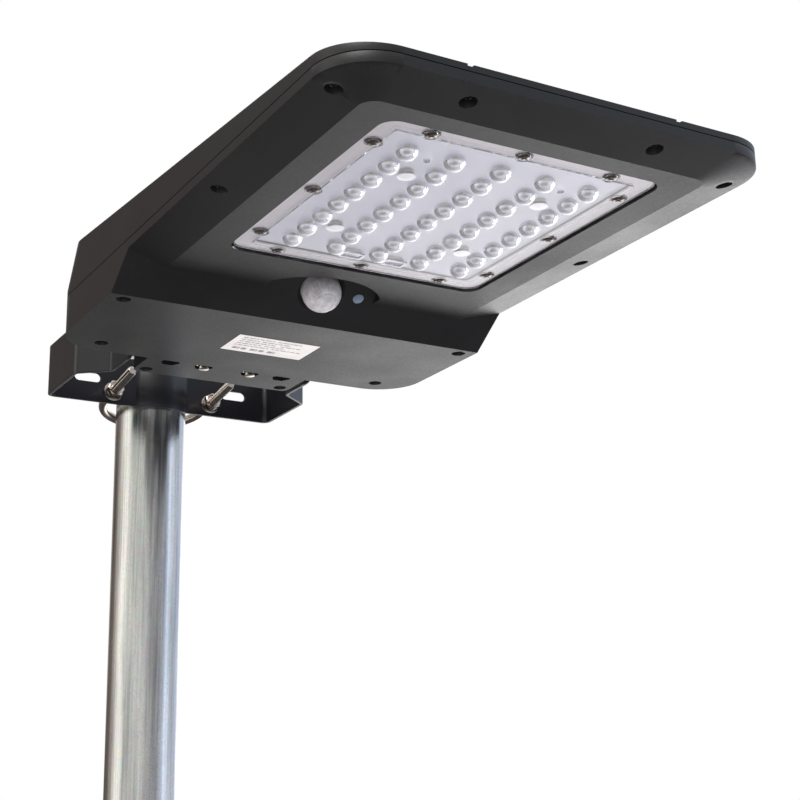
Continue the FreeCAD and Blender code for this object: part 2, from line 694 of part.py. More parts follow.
def wedge_space(name, inset, level, top):
    """The head's plan outline between a level and its sloping top; the rear leans forward above the knee."""
    low = (f"half_width - {inset}", f"-(head_front - {inset})", f"-(head_rear + {inset})",
           f"corner_radius - {inset}", "knee_level")
    high = (f"half_width - {inset}", f"-(head_front - {inset})", f"-(top_rear + {inset})",
            f"corner_radius - {inset}", "rear_top")
    plan = fuse(name + "_plan", [plan_slab(name + "_base", inset, level, f"knee_level - ({level})"),
                                 frustum(name + "_crown", low, high)])
    side = side_profile(name + "_side", [
        (f"-(head_front - {inset})", level),
        (f"-(head_front - {inset})", f"{top} + {inset} * {TOP_SLOPE}"),
        (f"-(top_rear + {inset})", f"{top} + (head_front - top_rear - {inset}) * {TOP_SLOPE}"),
        (f"-(head_rear + {inset})", "knee_level"),
        (f"-(head_rear + {inset})", level),
    ], "half_width")
    return common(name, side, plan)


def build_upper_housing():
    outside = wedge_space("upper_outside", "0", UPPER_LEVEL, "front_top")
    hollow = wedge_space("upper_hollow", "wall", "seam_level - 1", INNER_TOP)
    pillars = upright_rods("pillar", CASING_SCREWS, "6", "seam_level - 1", "60")
    shell = cut("upper_shell", outside, cut("upper_space", hollow, fuse("upper_pillars", pillars)))
    holes = [
        top_slab("laminate_recess", "laminate_inset", "-laminate_depth", "laminate_depth + 5"),
        on_top(wide_box("lead_opening", "8", "0", "0", "12", "8")),
    ]
    opening = holes[1]
    bind(opening, y="-345", z=f"front_top + (head_front - 345) * {TOP_SLOPE} - 8")
    holes += upright_rods("pillar_hole", CASING_SCREWS, "casing_shank", "seam_level", "2.6")
    for index, x in enumerate(("-70", "70"), 1):
        holes.append(box(f"drain_notch_{index}", (f"{x} - 2", "-head_front - 1", "front_top - 1.2"),
                         ("4", "5", "4")))
    node("upper_housing", cut("upper_body", shell, fuse("upper_holes", holes)))


def build_gasket():
    ring = plan_slab("gasket_outline", "0.8", "seam_level", "seam_gap")
    node("housing_gasket",
         cut("gasket_ring", ring, plan_slab("gasket_space", "wall", "seam_level - 1", "3")))


# ---------------------------------------------------------------- lens plate and LED board

def grid(across, along):
    """Places of the LEDs: across columns and along rows about the lens plate's centre."""
    places = []
    for row in range(along):
        for column in range(across):
            x = f"{column - (across - 1) / 2} * led_pitch_x"
            places.append((x, f"-lens_centre + {row - (along - 1) / 2} * led_pitch_y"))
    return places


def build_lens_plate():
    bulge = "((dome_radius^2 + dome_height^2) / (2 * dome_height))"
    flange = lens_slab("lens_flange_outline", "0", "flange_level", "lens_flange")
    plateau = lens_slab("lens_plateau", "(-plateau_inset)", "plateau_level", "lens_flange")
    domes = []
    for index, (x, y) in enumerate(grid(5, 8), 1):
        dome = make("Part::Sphere", f"dome_{index}", None, x=x, y=y,
                    z=f"plateau_level - dome_height + {bulge}",
                    Radius=bulge)
        dome.Angle1 = -90
        dome.Angle2 = 0
        domes.append(dome)
    studs = upright_rods("lens_stud",
                         mirrored([("47.2", "-(lens_centre + 44.5)"), ("47.2", "-(lens_centre - 44.5)")]),
                         "5.6", "plateau_level - 0.7", "2")
    sockets = []
    hollows = []
    for index, (x, y) in enumerate(mirrored([("16", "-(lens_centre - 81)")]), 1):
        sockets.append(box(f"lens_socket_{index}", (f"{x} - 8", f"{y} - 4.5", "plateau_level - 1"),
                           ("16", "9", "2")))
        hollows.append(box(f"lens_socket_space_{index}", (f"{x} - 6.8", f"{y} - 3.3", "plateau_level - 2"),
                           ("13.6", "6.6", "2.6")))
    blank = fuse("lens_blank", [flange, plateau] + domes + studs + sockets)
    holes = hollows
    holes += upright_rods("lens_notch", LENS_SCREWS, "5.6", "plateau_level - 1",
                          "flange_level - plateau_level + 1.8")
    holes += upright_rods("lens_hole", LENS_SCREWS, "1.6", "flange_level - 1", "6")
    holes += upright_rods("lens_pin_hole", mirrored([("47", "-(lens_centre + 67.5)")]), "2.2",
                          "plateau_level - 1", "6")
    node("lens_plate", cut("lens_body", blank, fuse("lens_holes", holes)))
    ring = lens_slab("lens_seal_outline", "(lens_gap - 0.2)", "flange_level + lens_flange",
                     "ledge_level - flange_level - lens_flange")
    space = lens_slab("lens_seal_space", "(-plateau_inset + 0.5)", "flange_level", "8")
    holes = upright_rods("lens_seal_hole", LENS_SCREWS, "1.6", "flange_level", "6")
    node("lens_gasket", cut("lens_seal", ring, fuse("lens_seal_holes", [space] + holes)))


def build_led_board():
    board = lens_slab("led_board_body", "(-plateau_inset - 1)", "ledge_top - 1.6", "1.6")
    node("led_board", board)
    chips = []
    for index, (x, y) in enumerate(grid(5, 8), 1):
        chips.append(box(f"led_chip_{index}", (f"{x} - 1.75", f"{y} - 1.75", "ledge_top - 2.4"),
                         ("3.5", "3.5", "0.8")))
    node("led_chips", gather("led_chip_set", chips))
    plate = lens_slab("spreader_blank", "(-4.5)", "ledge_top", "2")
    holes = fuse("spreader_holes",
                 upright_rods("spreader_hole", SPREADER_SCREWS, "1.2", "ledge_top - 1", "4"))
    node("heat_spreader", cut("spreader_body", plate, holes))
    screws = []
    for index, (x, y) in enumerate(SPREADER_SCREWS, 1):
        shank = rod(f"spreader_shank_{index}", (x, y, "ledge_top - 1.8"), "1.2", "4")
        head = rod(f"spreader_head_{index}", (x, y, "ledge_top + 2"), "2.4", "1.6")
        screws.append(fuse(f"spreader_screw_{index}", [shank, head]))
    node("spreader_screws", gather("spreader_screw_set", screws))


# ---------------------------------------------------------------- motion and light sensors

def build_sensors():
    dome = on_slope("Part::Sphere", "pir_dome", "0", "-1", Radius="14")
    dome.Angle1 = -90
    dome.Angle2 = 0
    skirt = slope_rod("pir_skirt", "0", "-1", "14", "9")
    flange = slope_rod("pir_flange", "0", "8", "18", "1.5")
    hollow = on_slope("Part::Sphere", "pir_hollow", "0", "-1", Radius="12.8")
    bore = slope_rod("pir_bore", "0", "-1", "12.8", "12")
    blank = fuse("pir_blank", [dome, skirt, flange])
    node("pir_lens", cut("pir_lens_body", blank, fuse("pir_space", [hollow, bore])))
    collar = slope_rod("pir_collar_blank", "0", "9.5", "18", "3")
    node("pir_collar", cut("pir_collar_ring", collar, slope_rod("pir_collar_bore", "0", "9", "13", "5")))
    board = on_slope("Part::Box", "pir_board_blank", "-20", "12.5", Length="58", Width="36", Height="1.6")
    shift = f"-sensor_front + 12.5 * sin(atan({SLOPE})) - 18 * cos(atan({SLOPE}))"
    level = f"(panel_level + (sensor_front - slope_front) * {SLOPE})"
    bind(board, y=shift, z=f"{level} + 12.5 * cos(atan({SLOPE})) + 18 * sin(atan({SLOPE}))")
    node("pir_board", board)
    node("pir_sensor", slope_rod("pir_can", "0", "7.5", "4.6", "5"))
    window = slope_rod("light_window", "light_offset", "-0.6", "4", "10")
    tip = on_slope("Part::Sphere", "light_tip", "light_offset", "3.2", Radius="5.4")
    stem = slope_rod("light_stem", "light_offset", "-3", "4", "4")
    node("light_sensor_lens", fuse("light_lens_body", [window, common("light_cap", tip, stem)]))
    node("light_sensor", slope_rod("light_cell", "light_offset", "10", "2.5", "2.5"))


# ---------------------------------------------------------------- solar laminate

def build_solar():
    node("solar_glass", top_slab("glass_sheet", "(laminate_inset + 0.5)", "-0.3 - glass", "glass"))
    node("solar_backsheet", top_slab("back_sheet", "(laminate_inset + 0.5)", "-laminate_depth", "backsheet"))
    cells = []
    columns = 4
    rows = 6
    span_x = "(2 * (half_width - laminate_inset - 6))"
    span_y = f"({TOP_LENGTH} - 2 * laminate_inset - 12)"
    for row in range(rows):
        for column in range(columns):
            x = f"({column} / {columns} - 0.5) * {span_x} + 1"
            start = f"(laminate_inset + 6 + {row} / {rows} * {span_y})"
            size = (f"{span_x} / {columns} - 2", f"{span_y} / {rows} - 2", "backsheet")
            cell = on_top(box(f"cell_{row}_{column}", (x, "0", "0"), size))
            along = f"cos(atan({TOP_SLOPE}))"
            across = f"sin(atan({TOP_SLOPE}))"
            drop = "(laminate_depth - backsheet)"
            bind(cell, y=f"-head_front + {start} * {along} + {drop} * {across}",
                 z=f"front_top + {start} * {across} - {drop} * {along}")
            cells.append(cell)
    node("solar_cells", gather("solar_cell_set", cells))


# ---------------------------------------------------------------- battery and controller

def build_battery():
    floor = "(base_level + wall)"
    rows = ("-241", "-207.5")
    cells = []
    tabs = []
    level = f"{floor} + 2 + cell_radius"
    for row, y in enumerate(rows):
        for column in range(3):
            start = f"({column} - 1.5) * (cell_length + 2) + 1"
            cells.append(rod(f"cell_body_{row}_{column}", (start, y, level), "cell_radius",
                             "cell_length", "X"))
    for index in range(4):
        x = f"({index} - 1.5) * (cell_length + 2)"
        tabs.append(box(f"cell_tab_{index}", (f"{x} - 0.5", "-241 - 4", f"{level} - 4"), ("1", "41.5", "8")))
    node("battery_cells", gather("battery_cell_set", cells))
    node("battery_terminals", gather("battery_tab_set", tabs))
    half = "(1.5 * (cell_length + 2) + 3)"
    tray = wide_box("tray_blank", half, "-260", floor, "71.5", "15")
    space = wide_box("tray_space", f"{half} - 2", "-258", f"{floor} + 2", "67.5", "15")
    node("battery_tray", cut("tray_body", tray, space))
    straps = []
    places = []
    for index, x in enumerate(("-68", "68"), 1):
        arch = [box(f"strap_top_{index}", (f"{x} - 6", "-262.2", f"{level} + cell_radius + 0.3"),
                    ("12", "75.9", "1"))]
        for tag, y in (("front", "-262.2"), ("rear", "-187.3")):
            arch.append(box(f"strap_leg_{tag}_{index}", (f"{x} - 6", y, floor),
                            ("12", "1", f"{level} + cell_radius + 1.3 - {floor}")))
        arch.append(box(f"strap_foot_{index}", (f"{x} - 6", "-271.2", floor), ("12", "9.5", "1")))
        straps.append(fuse(f"strap_{index}", arch))
        places.append((x, "-266.8"))
    bores = fuse("strap_holes", upright_rods("strap_hole", places, "1.4", floor, "2"))
    node("battery_strap", cut("strap_body", fuse("strap_pair", straps), bores))
    screws = []
    for index, (x, y) in enumerate(places, 1):
        head = rod(f"strap_screw_head_{index}", (x, y, f"{floor} + 1"), "2.6", "1.8")
        shank = rod(f"strap_screw_shank_{index}", (x, y, floor), "1.4", "2")
        screws.append(fuse(f"strap_screw_{index}", [head, shank]))
    node("battery_screws", gather("battery_screw_set", screws))


def build_controller():
    level = "(base_level + wall + 6)"
    board = wide_box("board_blank", "60", "-298", level, "35", "1.6")
    holes = fuse("board_holes", upright_rods("board_hole", BOARD_POSTS, "1.2", f"{level} - 1", "4"))
    node("controller_board", cut("board_body", board, holes))
    top = f"{level} + 1.6"
    parts = [
        rod("inductor", ("-30", "-280", top), "8", "9"),
        rod("capacitor_1", ("-8", "-286", top), "5", "13"),
        rod("capacitor_2", ("6", "-286", top), "5", "13"),
        box("charge_chip", ("-12", "-276", top), ("10", "10", "2")),
        box("driver_chip", ("12", "-276", top), ("8", "8", "2")),
        box("switch_1", ("22", "-290", top), ("10", "8", "3")),
        box("switch_2", ("22", "-278", top), ("10", "8", "3")),
    ]
    node("controller_parts", gather("controller_part_set", parts))
    sockets = []
    for index, x in enumerate(("-50", "-42", "36", "45"), 1):
        sockets.append(box(f"socket_{index}", (f"{x} - 3.5", "-285", top), ("7", "8", "8")))
    node("wire_sockets", gather("wire_socket_set", sockets))
    screws = []
    for index, (x, y) in enumerate(BOARD_POSTS, 1):
        head = rod(f"board_screw_head_{index}", (x, y, top), "2.4", "1.6")
        shank = rod(f"board_screw_shank_{index}", (x, y, f"{level} - 4"), "1.2", "5.6")
        screws.append(fuse(f"board_screw_{index}", [head, shank]))
    node("controller_screws", gather("controller_screw_set", screws))
    terminal = on_top(wide_box("terminal_box", "20", "0", "0", "34", "10"))
    node("junction_box",
         bind(terminal, y="-345", z=f"front_top + (head_front - 345) * {TOP_SLOPE} - {SHELF} - 10.1"))


# ---------------------------------------------------------------- internal wires

def lead(name, radius, points):
    """A wire as a round tube along straight runs joined by tangent arcs."""
    def bend(before, corner, after, half_turn):
        return 0.45 * min((corner - before).Length, (after - corner).Length) / math.tan(half_turn)

    places = [FreeCAD.Vector(*point) for point in points]
    edges = rounded_path(places, bend)
    path = Part.Wire(edges)
    section = Part.Wire(Part.makeCircle(radius, places[0], places[1] - places[0]))
    tube = path.makePipeShell([section], True, False)
    expected = math.pi * radius ** 2 * path.Length
    if abs(tube.Volume / expected - 1) > 0.02:
        raise ValueError(f"{name}: volume {tube.Volume:.1f}, section times length {expected:.1f}")
    radii = [edge.Curve.Radius for edge in edges if hasattr(edge.Curve, "Radius")]
    print(name, "bend radii", [round(value, 1) for value in radii])
    node(name, from_shape(name, tube))


def build_leads():
    top = number("base_level + wall + 6 + 1.6 + 8")
    lead("panel_lead", 1.2, [(-10, -311, 463), (-10, -296, 464), (-20, -278, 458), (-38, -273, 450),
                             (-42, -281, 442), (-42, -281, top)])
    lead("battery_lead", 1.5, [(-99, -256, 456), (-94, -272, 456), (-78, -285, 451), (-60, -288, 447),
                               (-50, -281, 442), (-50, -281, top)])
    lead("led_lead", 1.2, [(60, -385, 442.3), (60, -360, 443), (56, -336, 448), (48, -312, 452),
                           (45, -292, 449), (45, -281, 441), (45, -281, top)])
    lead("sensor_lead", 1.0, [(34, -306, 449.5), (35, -298, 449.5), (36, -289, 447), (36, -281, 441.5),
                              (36, -281, top)])


# ---------------------------------------------------------------- assembly

build_mast()
build_bracket()
build_u_bolt()
build_channel()
build_channel_bolts()
build_pivots()
build_lower_housing()
build_upper_housing()
build_gasket()
pan_screws("housing_screws", CASING_SCREWS, SEAT_LEVEL, "casing_head", "2.6", "casing_shank", "5.6", "4.2")
pan_screws("tongue_screws", TONGUE_SCREWS, TONGUE_SEAT, "casing_head", "2.6", "casing_shank", "7.4", "4.2")
build_lens_plate()
pan_screws("lens_screws", LENS_SCREWS, "(flange_level + 0.8)", "4.3", "2.2", "1.6", "4.2", "5")
build_led_board()
build_sensors()
build_solar()
build_battery()
build_controller()
build_leads()
node("rating_label", wide_box("label_sheet", "32.75", "-262", "base_level - 0.2", "36.5", "0.2"))

doc.recompute()
for item in doc.Objects:
    if "Invalid" in item.State or "Error" in item.State:
        raise RuntimeError(f"{item.Name} failed: {item.State}")
os.makedirs("parts", exist_ok=True)
for name, item in nodes.items():
    if item.Shape.isNull() or not item.Shape.isValid() or not item.Shape.Solids:
        raise RuntimeError(f"{name} has no valid solid")
    item.Shape.exportStep(f"parts/{name}.step")
print(len(nodes), "sub-parts written")
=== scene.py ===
import json
import math

import bmesh
import bpy
from mathutils import Matrix, Vector


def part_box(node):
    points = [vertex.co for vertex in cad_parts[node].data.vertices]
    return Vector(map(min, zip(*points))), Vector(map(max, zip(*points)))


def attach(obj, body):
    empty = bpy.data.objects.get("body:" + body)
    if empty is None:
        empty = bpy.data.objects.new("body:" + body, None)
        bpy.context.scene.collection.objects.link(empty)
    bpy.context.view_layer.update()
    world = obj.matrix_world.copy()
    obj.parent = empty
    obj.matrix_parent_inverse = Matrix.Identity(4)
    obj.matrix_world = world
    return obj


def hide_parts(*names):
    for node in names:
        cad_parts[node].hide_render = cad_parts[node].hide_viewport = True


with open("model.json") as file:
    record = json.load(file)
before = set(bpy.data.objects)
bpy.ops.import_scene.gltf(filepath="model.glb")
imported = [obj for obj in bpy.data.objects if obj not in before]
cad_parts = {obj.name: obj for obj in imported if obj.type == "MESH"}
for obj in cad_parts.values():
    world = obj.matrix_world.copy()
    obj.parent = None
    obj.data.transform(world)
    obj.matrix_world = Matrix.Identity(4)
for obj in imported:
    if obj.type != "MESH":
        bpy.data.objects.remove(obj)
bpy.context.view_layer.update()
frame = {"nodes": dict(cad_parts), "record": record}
NODES = frame["nodes"]
RECORD = frame["record"]
BODY_OF = {node: body for body, members in RECORD["behaviour"]["bodies"].items() for node in members}
SLOT_OF = {part["node"]: part["material_slot"] for part in RECORD["subparts"]}
MM = 0.001


# ---------------------------------------------------------------- materials

class Surface:
    """A Principled material built from a few procedural layers; lengths are in metres."""

    def __init__(self, name, **values):
        self.material = bpy.data.materials.new(name)
        self.material.use_nodes = True
        self.tree = self.material.node_tree
        self.shader = self.tree.nodes["Principled BSDF"]
        for key, value in values.items():
            self.shader.inputs[key.replace("_", " ")].default_value = value
        self.place = self.tree.nodes.new("ShaderNodeTexCoord").outputs["Object"]
        self.heights = []

    def add(self, kind, inputs=(), **settings):
        item = self.tree.nodes.new("ShaderNode" + kind)
        for key, value in settings.items():
            setattr(item, key, value)
        for key, value in dict(inputs).items():
            if isinstance(value, bpy.types.NodeSocket):
                self.tree.links.new(value, item.inputs[key])
            else:
                item.inputs[key].default_value = value
        return item

    def spread(self, stretch):
        """Object coordinates scaled per axis, so a pattern can run along one of them."""
        return self.add("Mapping", {"Vector": self.place, "Scale": stretch}).outputs["Vector"]

    def noise(self, size, detail=3.0, rough=0.55, stretch=(1, 1, 1)):
        return self.add("TexNoise", {"Vector": self.spread(stretch), "Scale": 1 / size, "Detail": detail,
                                     "Roughness": rough}).outputs["Fac"]

    def cells(self, size, stretch=(1, 1, 1)):
        return self.add("TexVoronoi", {"Vector": self.spread(stretch), "Scale": 1 / size}).outputs["Color"]

    def remap(self, fac, low, high, start=0.3, stop=0.7):
        return self.add("MapRange", {"Value": fac, "From Min": start, "From Max": stop, "To Min": low,
                                     "To Max": high}).outputs["Result"]

    def maths(self, operation, a, b=0.0):
        return self.add("Math", {0: a, 1: b}, operation=operation).outputs[0]

    def ramp(self, fac, stops):
        item = self.add("ValToRGB", {"Fac": fac})
        bar = item.color_ramp.elements
        while len(bar) < len(stops):
            bar.new(0.5)
        for element, (place, color) in zip(bar, stops):
            element.position = place
            element.color = (*color, 1)
        return item.outputs["Color"]

    def mix(self, fac, a, b, blend="MIX"):
        item = self.add("Mix", data_type="RGBA", blend_type=blend)
        for index, value in ((0, fac), (6, a), (7, b)):
            if isinstance(value, bpy.types.NodeSocket):
                self.tree.links.new(value, item.inputs[index])
            else:
                item.inputs[index].default_value = (*value, 1) if isinstance(value, tuple) else value
        return item.outputs[2]

    def drive(self, socket, value):
        self.tree.links.new(value, self.shader.inputs[socket])

    def bump(self, height, distance, strength=1.0):
        """Add a bump layer; distance is the real height in metres of a full step of the pattern."""
        inputs = {"Height": height, "Distance": distance, "Strength": strength}
        if self.heights:
            inputs["Normal"] = self.heights[-1]
        self.heights.append(self.add("Bump", inputs).outputs["Normal"])
        self.drive("Normal", self.heights[-1])


def moulded_plastic(name, color, roughness, grain=0.9 * MM, depth=0.02 * MM, specular=0.5):
    """Injection-moulded plastic with a spark-eroded grain and faint handling marks."""
    surface = Surface(name, IOR=1.47, Specular_IOR_Level=specular)
    cloud = surface.noise(60 * MM, 4)
    fine = surface.noise(grain, 2, 0.6)
    speckle = surface.noise(2.2 * grain, 3, 0.7)
    lighter = tuple(min(1, channel * 1.3 + 0.001) for channel in color)
    darker = tuple(channel * 0.8 for channel in color)
    tone = surface.maths("ADD", surface.remap(cloud, 0, 0.5), surface.remap(fine, 0, 0.5))
    surface.drive("Base Color", surface.mix(tone, darker, lighter))
    rough = surface.maths("ADD", surface.remap(cloud, roughness - 0.04, roughness + 0.04),
                          surface.remap(speckle, -0.05, 0.05))
    surface.drive("Roughness", rough)
    surface.bump(fine, depth)
    surface.bump(speckle, depth * 1.6)
    return surface.material


def powder_coat(name, color):
    """Semi-gloss black powder coat with orange peel."""
    surface = Surface(name, Metallic=0.0, IOR=1.5, Coat_Weight=0.15, Coat_Roughness=0.12)
    peel = surface.noise(1.6 * MM, 2, 0.4)
    cloud = surface.noise(35 * MM, 3)
    dust = surface.noise(0.5 * MM, 1)
    surface.drive("Base Color",
                  surface.mix(surface.remap(dust, 0, 0.3, 0.62, 0.8), color, (0.020, 0.020, 0.024)))
    surface.drive("Roughness", surface.remap(cloud, 0.26, 0.36))
    surface.bump(peel, 0.018 * MM)
    return surface.material


def galvanised(name):
    """Hot-dip zinc on a drawn tube: lengthwise streaks, soft spangle and fine handling scratches."""
    surface = Surface(name, Metallic=1.0)
    streak = surface.noise(2.2 * MM, 5, 0.65, (1, 1, 0.02))
    wide = surface.noise(11 * MM, 3, 0.5, (1, 1, 0.06))
    patch = surface.noise(26 * MM, 4, 0.6, (1, 1, 0.4))
    spangle = surface.cells(5 * MM, (1, 1, 0.6))
    rings = surface.noise(0.7 * MM, 2, 0.5, (0.05, 0.05, 1))
    speck = surface.noise(0.8 * MM, 3, 0.7)
    tone = surface.maths("ADD", surface.maths("MULTIPLY", streak, 0.5), surface.maths("MULTIPLY", wide, 0.5))
    base = surface.ramp(tone,
                        [(0.34, (0.34, 0.35, 0.36)), (0.46, (0.56, 0.57, 0.56)), (0.54, (0.68, 0.68, 0.66)),
                               (0.66, (0.84, 0.83, 0.80))])
    grain = surface.mix(0.10, base, spangle, "SOFT_LIGHT")
    dirty = surface.mix(surface.remap(speck, 0, 0.75, 0.46, 0.70), grain, (0.40, 0.40, 0.39))
    surface.drive("Base Color", dirty)
    rough = surface.maths("ADD", surface.remap(patch, 0.17, 0.26), surface.remap(streak, -0.04, 0.05))
    surface.drive("Roughness", rough)
    surface.bump(streak, 0.02 * MM)
    surface.bump(rings, 0.006 * MM)
    surface.bump(speck, 0.03 * MM)
    surface.bump(patch, 0.12 * MM)
    return surface.material


def plated_steel(name, color, roughness, tint):
    """Zinc-plated or stainless hardware with drawing marks and slight tarnish."""
    surface = Surface(name, Metallic=1.0)
    tarnish = surface.noise(6 * MM, 4, 0.6)
    scratch = surface.noise(0.5 * MM, 3, 0.6)
    surface.drive("Base Color", surface.mix(surface.remap(tarnish, 0, 0.8, 0.4, 0.75), color, tint))
    surface.drive("Roughness", surface.maths("ADD", surface.remap(tarnish, roughness, roughness + 0.12),
                                             surface.remap(scratch, -0.04, 0.06)))
    surface.bump(scratch, 0.008 * MM)
    return surface.material


def clear_plastic(name, color, transmission, roughness, ior):
    """Moulded clear polycarbonate with a trace of flow haze."""
    surface = Surface(name, IOR=ior, Transmission_Weight=transmission, Base_Color=(*color, 1))
    haze = surface.noise(18 * MM, 3)
    surface.drive("Roughness", surface.remap(haze, roughness, roughness + 0.03))
    return surface.material


def milky_plastic(name):
    """Thin milky polyethylene of the motion sensor's dome."""
    surface = Surface(name, IOR=1.5, Roughness=0.32, Subsurface_Weight=0.35, Subsurface_Scale=3 * MM)
    surface.shader.inputs["Subsurface Radius"].default_value = (1, 1, 1)
    cloud = surface.noise(5 * MM, 3)
    surface.drive("Base Color",
                  surface.mix(surface.remap(cloud, 0, 1), (0.26, 0.25, 0.26), (0.40, 0.39, 0.40)))
    surface.bump(surface.noise(0.8 * MM, 2), 0.01 * MM)
    return surface.material


def rubber(name, color):
    surface = Surface(name, Roughness=0.75, Specular_IOR_Level=0.3)
    fine = surface.noise(0.6 * MM, 3)
    lighter = tuple(min(1, channel * 1.3) for channel in color)
    surface.drive("Base Color", surface.mix(surface.remap(fine, 0, 1), color, lighter))
    surface.bump(fine, 0.03 * MM)
    return surface.material


def coated_board(name, color):
    """Circuit board: solder mask over faint copper runs."""
    surface = Surface(name, IOR=1.5)
    weave = surface.noise(1.4 * MM, 2)
    cloud = surface.noise(40 * MM, 3)
    darker = tuple(channel * 0.93 for channel in color)
    surface.drive("Base Color", surface.mix(surface.remap(cloud, 0, 1), darker, color))
    surface.drive("Roughness", surface.remap(weave, 0.35, 0.5))
    surface.bump(weave, 0.01 * MM)
    return surface.material


def stripes(surface, axis, pitch, width):
    """1 on lines of a width, spaced by a pitch along one object axis."""
    along = surface.add("SeparateXYZ", {0: surface.place}).outputs[axis]
    phase = surface.maths("ABSOLUTE", surface.maths("WRAP", surface.maths("DIVIDE", along, pitch), 0.5))
    phase.node.inputs[0].links[0].from_node.inputs[2].default_value = -0.5
    return surface.maths("LESS_THAN", phase, width / pitch / 2)


def silicon(name):
    """Monocrystalline cell: dark blue silicon, fine silver fingers and wider busbars."""
    surface = Surface(name, IOR=1.6, Roughness=0.25)
    cloud = surface.noise(30 * MM, 3)
    blue = surface.mix(surface.remap(cloud, 0, 1), (0.004, 0.007, 0.022), (0.008, 0.014, 0.040))
    fingers = surface.mix(stripes(surface, 1, 1.9 * MM, 0.12 * MM), blue, (0.05, 0.055, 0.075))
    bars = surface.mix(stripes(surface, 0, 15.6 * MM, 0.8 * MM), fingers, (0.45, 0.45, 0.46))
    surface.drive("Base Color", bars)
    return surface.material


def paper_label(name):
    surface = Surface(name, Roughness=0.42, Coat_Weight=0.2)
    cloud = surface.noise(12 * MM, 3)
    surface.drive("Base Color",
                  surface.mix(surface.remap(cloud, 0, 1), (0.50, 0.475, 0.465), (0.57, 0.54, 0.53)))
    return surface.material


def plain_gloss(name, color, roughness=0.3):
    """Small glossy parts: wire, components, LEDs."""
    surface = Surface(name, IOR=1.5)
    cloud = surface.noise(4 * MM, 3)
    darker = tuple(channel * 0.85 for channel in color)
    surface.drive("Base Color", surface.mix(surface.remap(cloud, 0, 1), darker, color))
    surface.drive("Roughness", surface.remap(cloud, roughness - 0.05, roughness + 0.05))
    return surface.material


FINISH = {
    "galvanised_steel": galvanised("galvanised_steel"),
    "black_plastic": moulded_plastic("black_plastic", (0.012, 0.012, 0.012), 0.5),
    "black_paint": powder_coat("black_paint", (0.0040, 0.0040, 0.0060)),
    "zinc_plate": plated_steel("zinc_plate", (0.68, 0.60, 0.54), 0.08, (0.42, 0.35, 0.29)),
    "screw_steel": plated_steel("screw_steel", (0.42, 0.37, 0.34), 0.12, (0.20, 0.19, 0.185)),
    "housing_plastic": moulded_plastic("housing_plastic", (0.0060, 0.0056, 0.0060), 0.38),
    "seal_rubber": rubber("seal_rubber", (0.008, 0.008, 0.008)),
    "seal_silicone": rubber("seal_silicone", (0.62, 0.58, 0.59)),
    "lens_plastic": clear_plastic("lens_plastic", (0.95, 0.95, 0.98), 1.0, 0.06, 1.5),
    "pir_plastic": milky_plastic("pir_plastic"),
    "window_plastic": plain_gloss("window_plastic", (0.10, 0.13, 0.17), 0.15),
    "board_white": coated_board("board_white", (0.84, 0.83, 0.90)),
    "board_green": coated_board("board_green", (0.02, 0.16, 0.06)),
    "led_phosphor": plain_gloss("led_phosphor", (0.78, 0.70, 0.16), 0.45),
    "spreader_aluminium": plated_steel("spreader_aluminium", (0.75, 0.75, 0.76), 0.35, (0.6, 0.6, 0.61)),
    "panel_glass": clear_plastic("panel_glass", (0.97, 0.99, 1.0), 1.0, 0.03, 1.5),
    "cell_silicon": silicon("cell_silicon"),
    "backsheet_film": plain_gloss("backsheet_film", (0.05, 0.05, 0.055), 0.5),
    "cell_wrap": plain_gloss("cell_wrap", (0.03, 0.14, 0.36)),
    "nickel_strip": plated_steel("nickel_strip", (0.66, 0.62, 0.55), 0.25, (0.5, 0.46, 0.4)),
    "component_black": plain_gloss("component_black", (0.015, 0.015, 0.016), 0.4),
    "socket_plastic": plain_gloss("socket_plastic", (0.52, 0.49, 0.48), 0.45),
    "wire_red": plain_gloss("wire_red", (0.42, 0.02, 0.015)),
    "wire_black": plain_gloss("wire_black", (0.015, 0.015, 0.015)),
    "label_film": paper_label("label_film"),
}
DOME = clear_plastic("lens_dome", (0.72, 0.72, 0.76), 0.70, 0.01, 1.58)
INK = plain_gloss("label_ink", (0.20, 0.19, 0.20), 0.5)
CERAMIC = plain_gloss("led_ceramic", (0.80, 0.79, 0.75), 0.4)

for node_name, node in NODES.items():
    node.data.materials.clear()
    node.data.materials.append(FINISH[SLOT_OF[node_name]])


# ---------------------------------------------------------------- mesh helpers

def put_in(name, bm, node_name, slot=None, extra=(), replaces=True):
    """Turn a bmesh into a piece that rides with, and may stand for, a CAD node."""
    mesh = bpy.data.meshes.new(name)
    bm.to_mesh(mesh)
    bm.free()
    piece = bpy.data.objects.new(name, mesh)
    bpy.context.scene.collection.objects.link(piece)
    slot = slot or SLOT_OF[node_name]
    mesh.materials.append(FINISH[slot])
    for material in extra:
        mesh.materials.append(material)
    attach(piece, BODY_OF[node_name])
    if replaces:
        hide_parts(node_name)
    return piece


def welded(node_name):
    """A node's mesh with its split corners joined and its flat faces made whole."""
    bm = bmesh.new()
    bm.from_mesh(NODES[node_name].data)
    bmesh.ops.remove_doubles(bm, verts=bm.verts, dist=2e-6)
    bmesh.ops.dissolve_limit(bm, angle_limit=math.radians(0.2), verts=bm.verts, edges=bm.edges)
    return bm


def smooth_curves_only(bm, flat_area=320e-6):
    """Shade flats flat and curves smooth; a direction with much area facing it belongs to flats."""
    bm.normal_update()
    facing = {}
    for face in bm.faces:
        key = tuple(round(part, 2) for part in face.normal)
        facing[key] = facing.get(key, 0) + face.calc_area()
    for face in bm.faces:
        face.smooth = facing[tuple(round(part, 2) for part in face.normal)] < flat_area


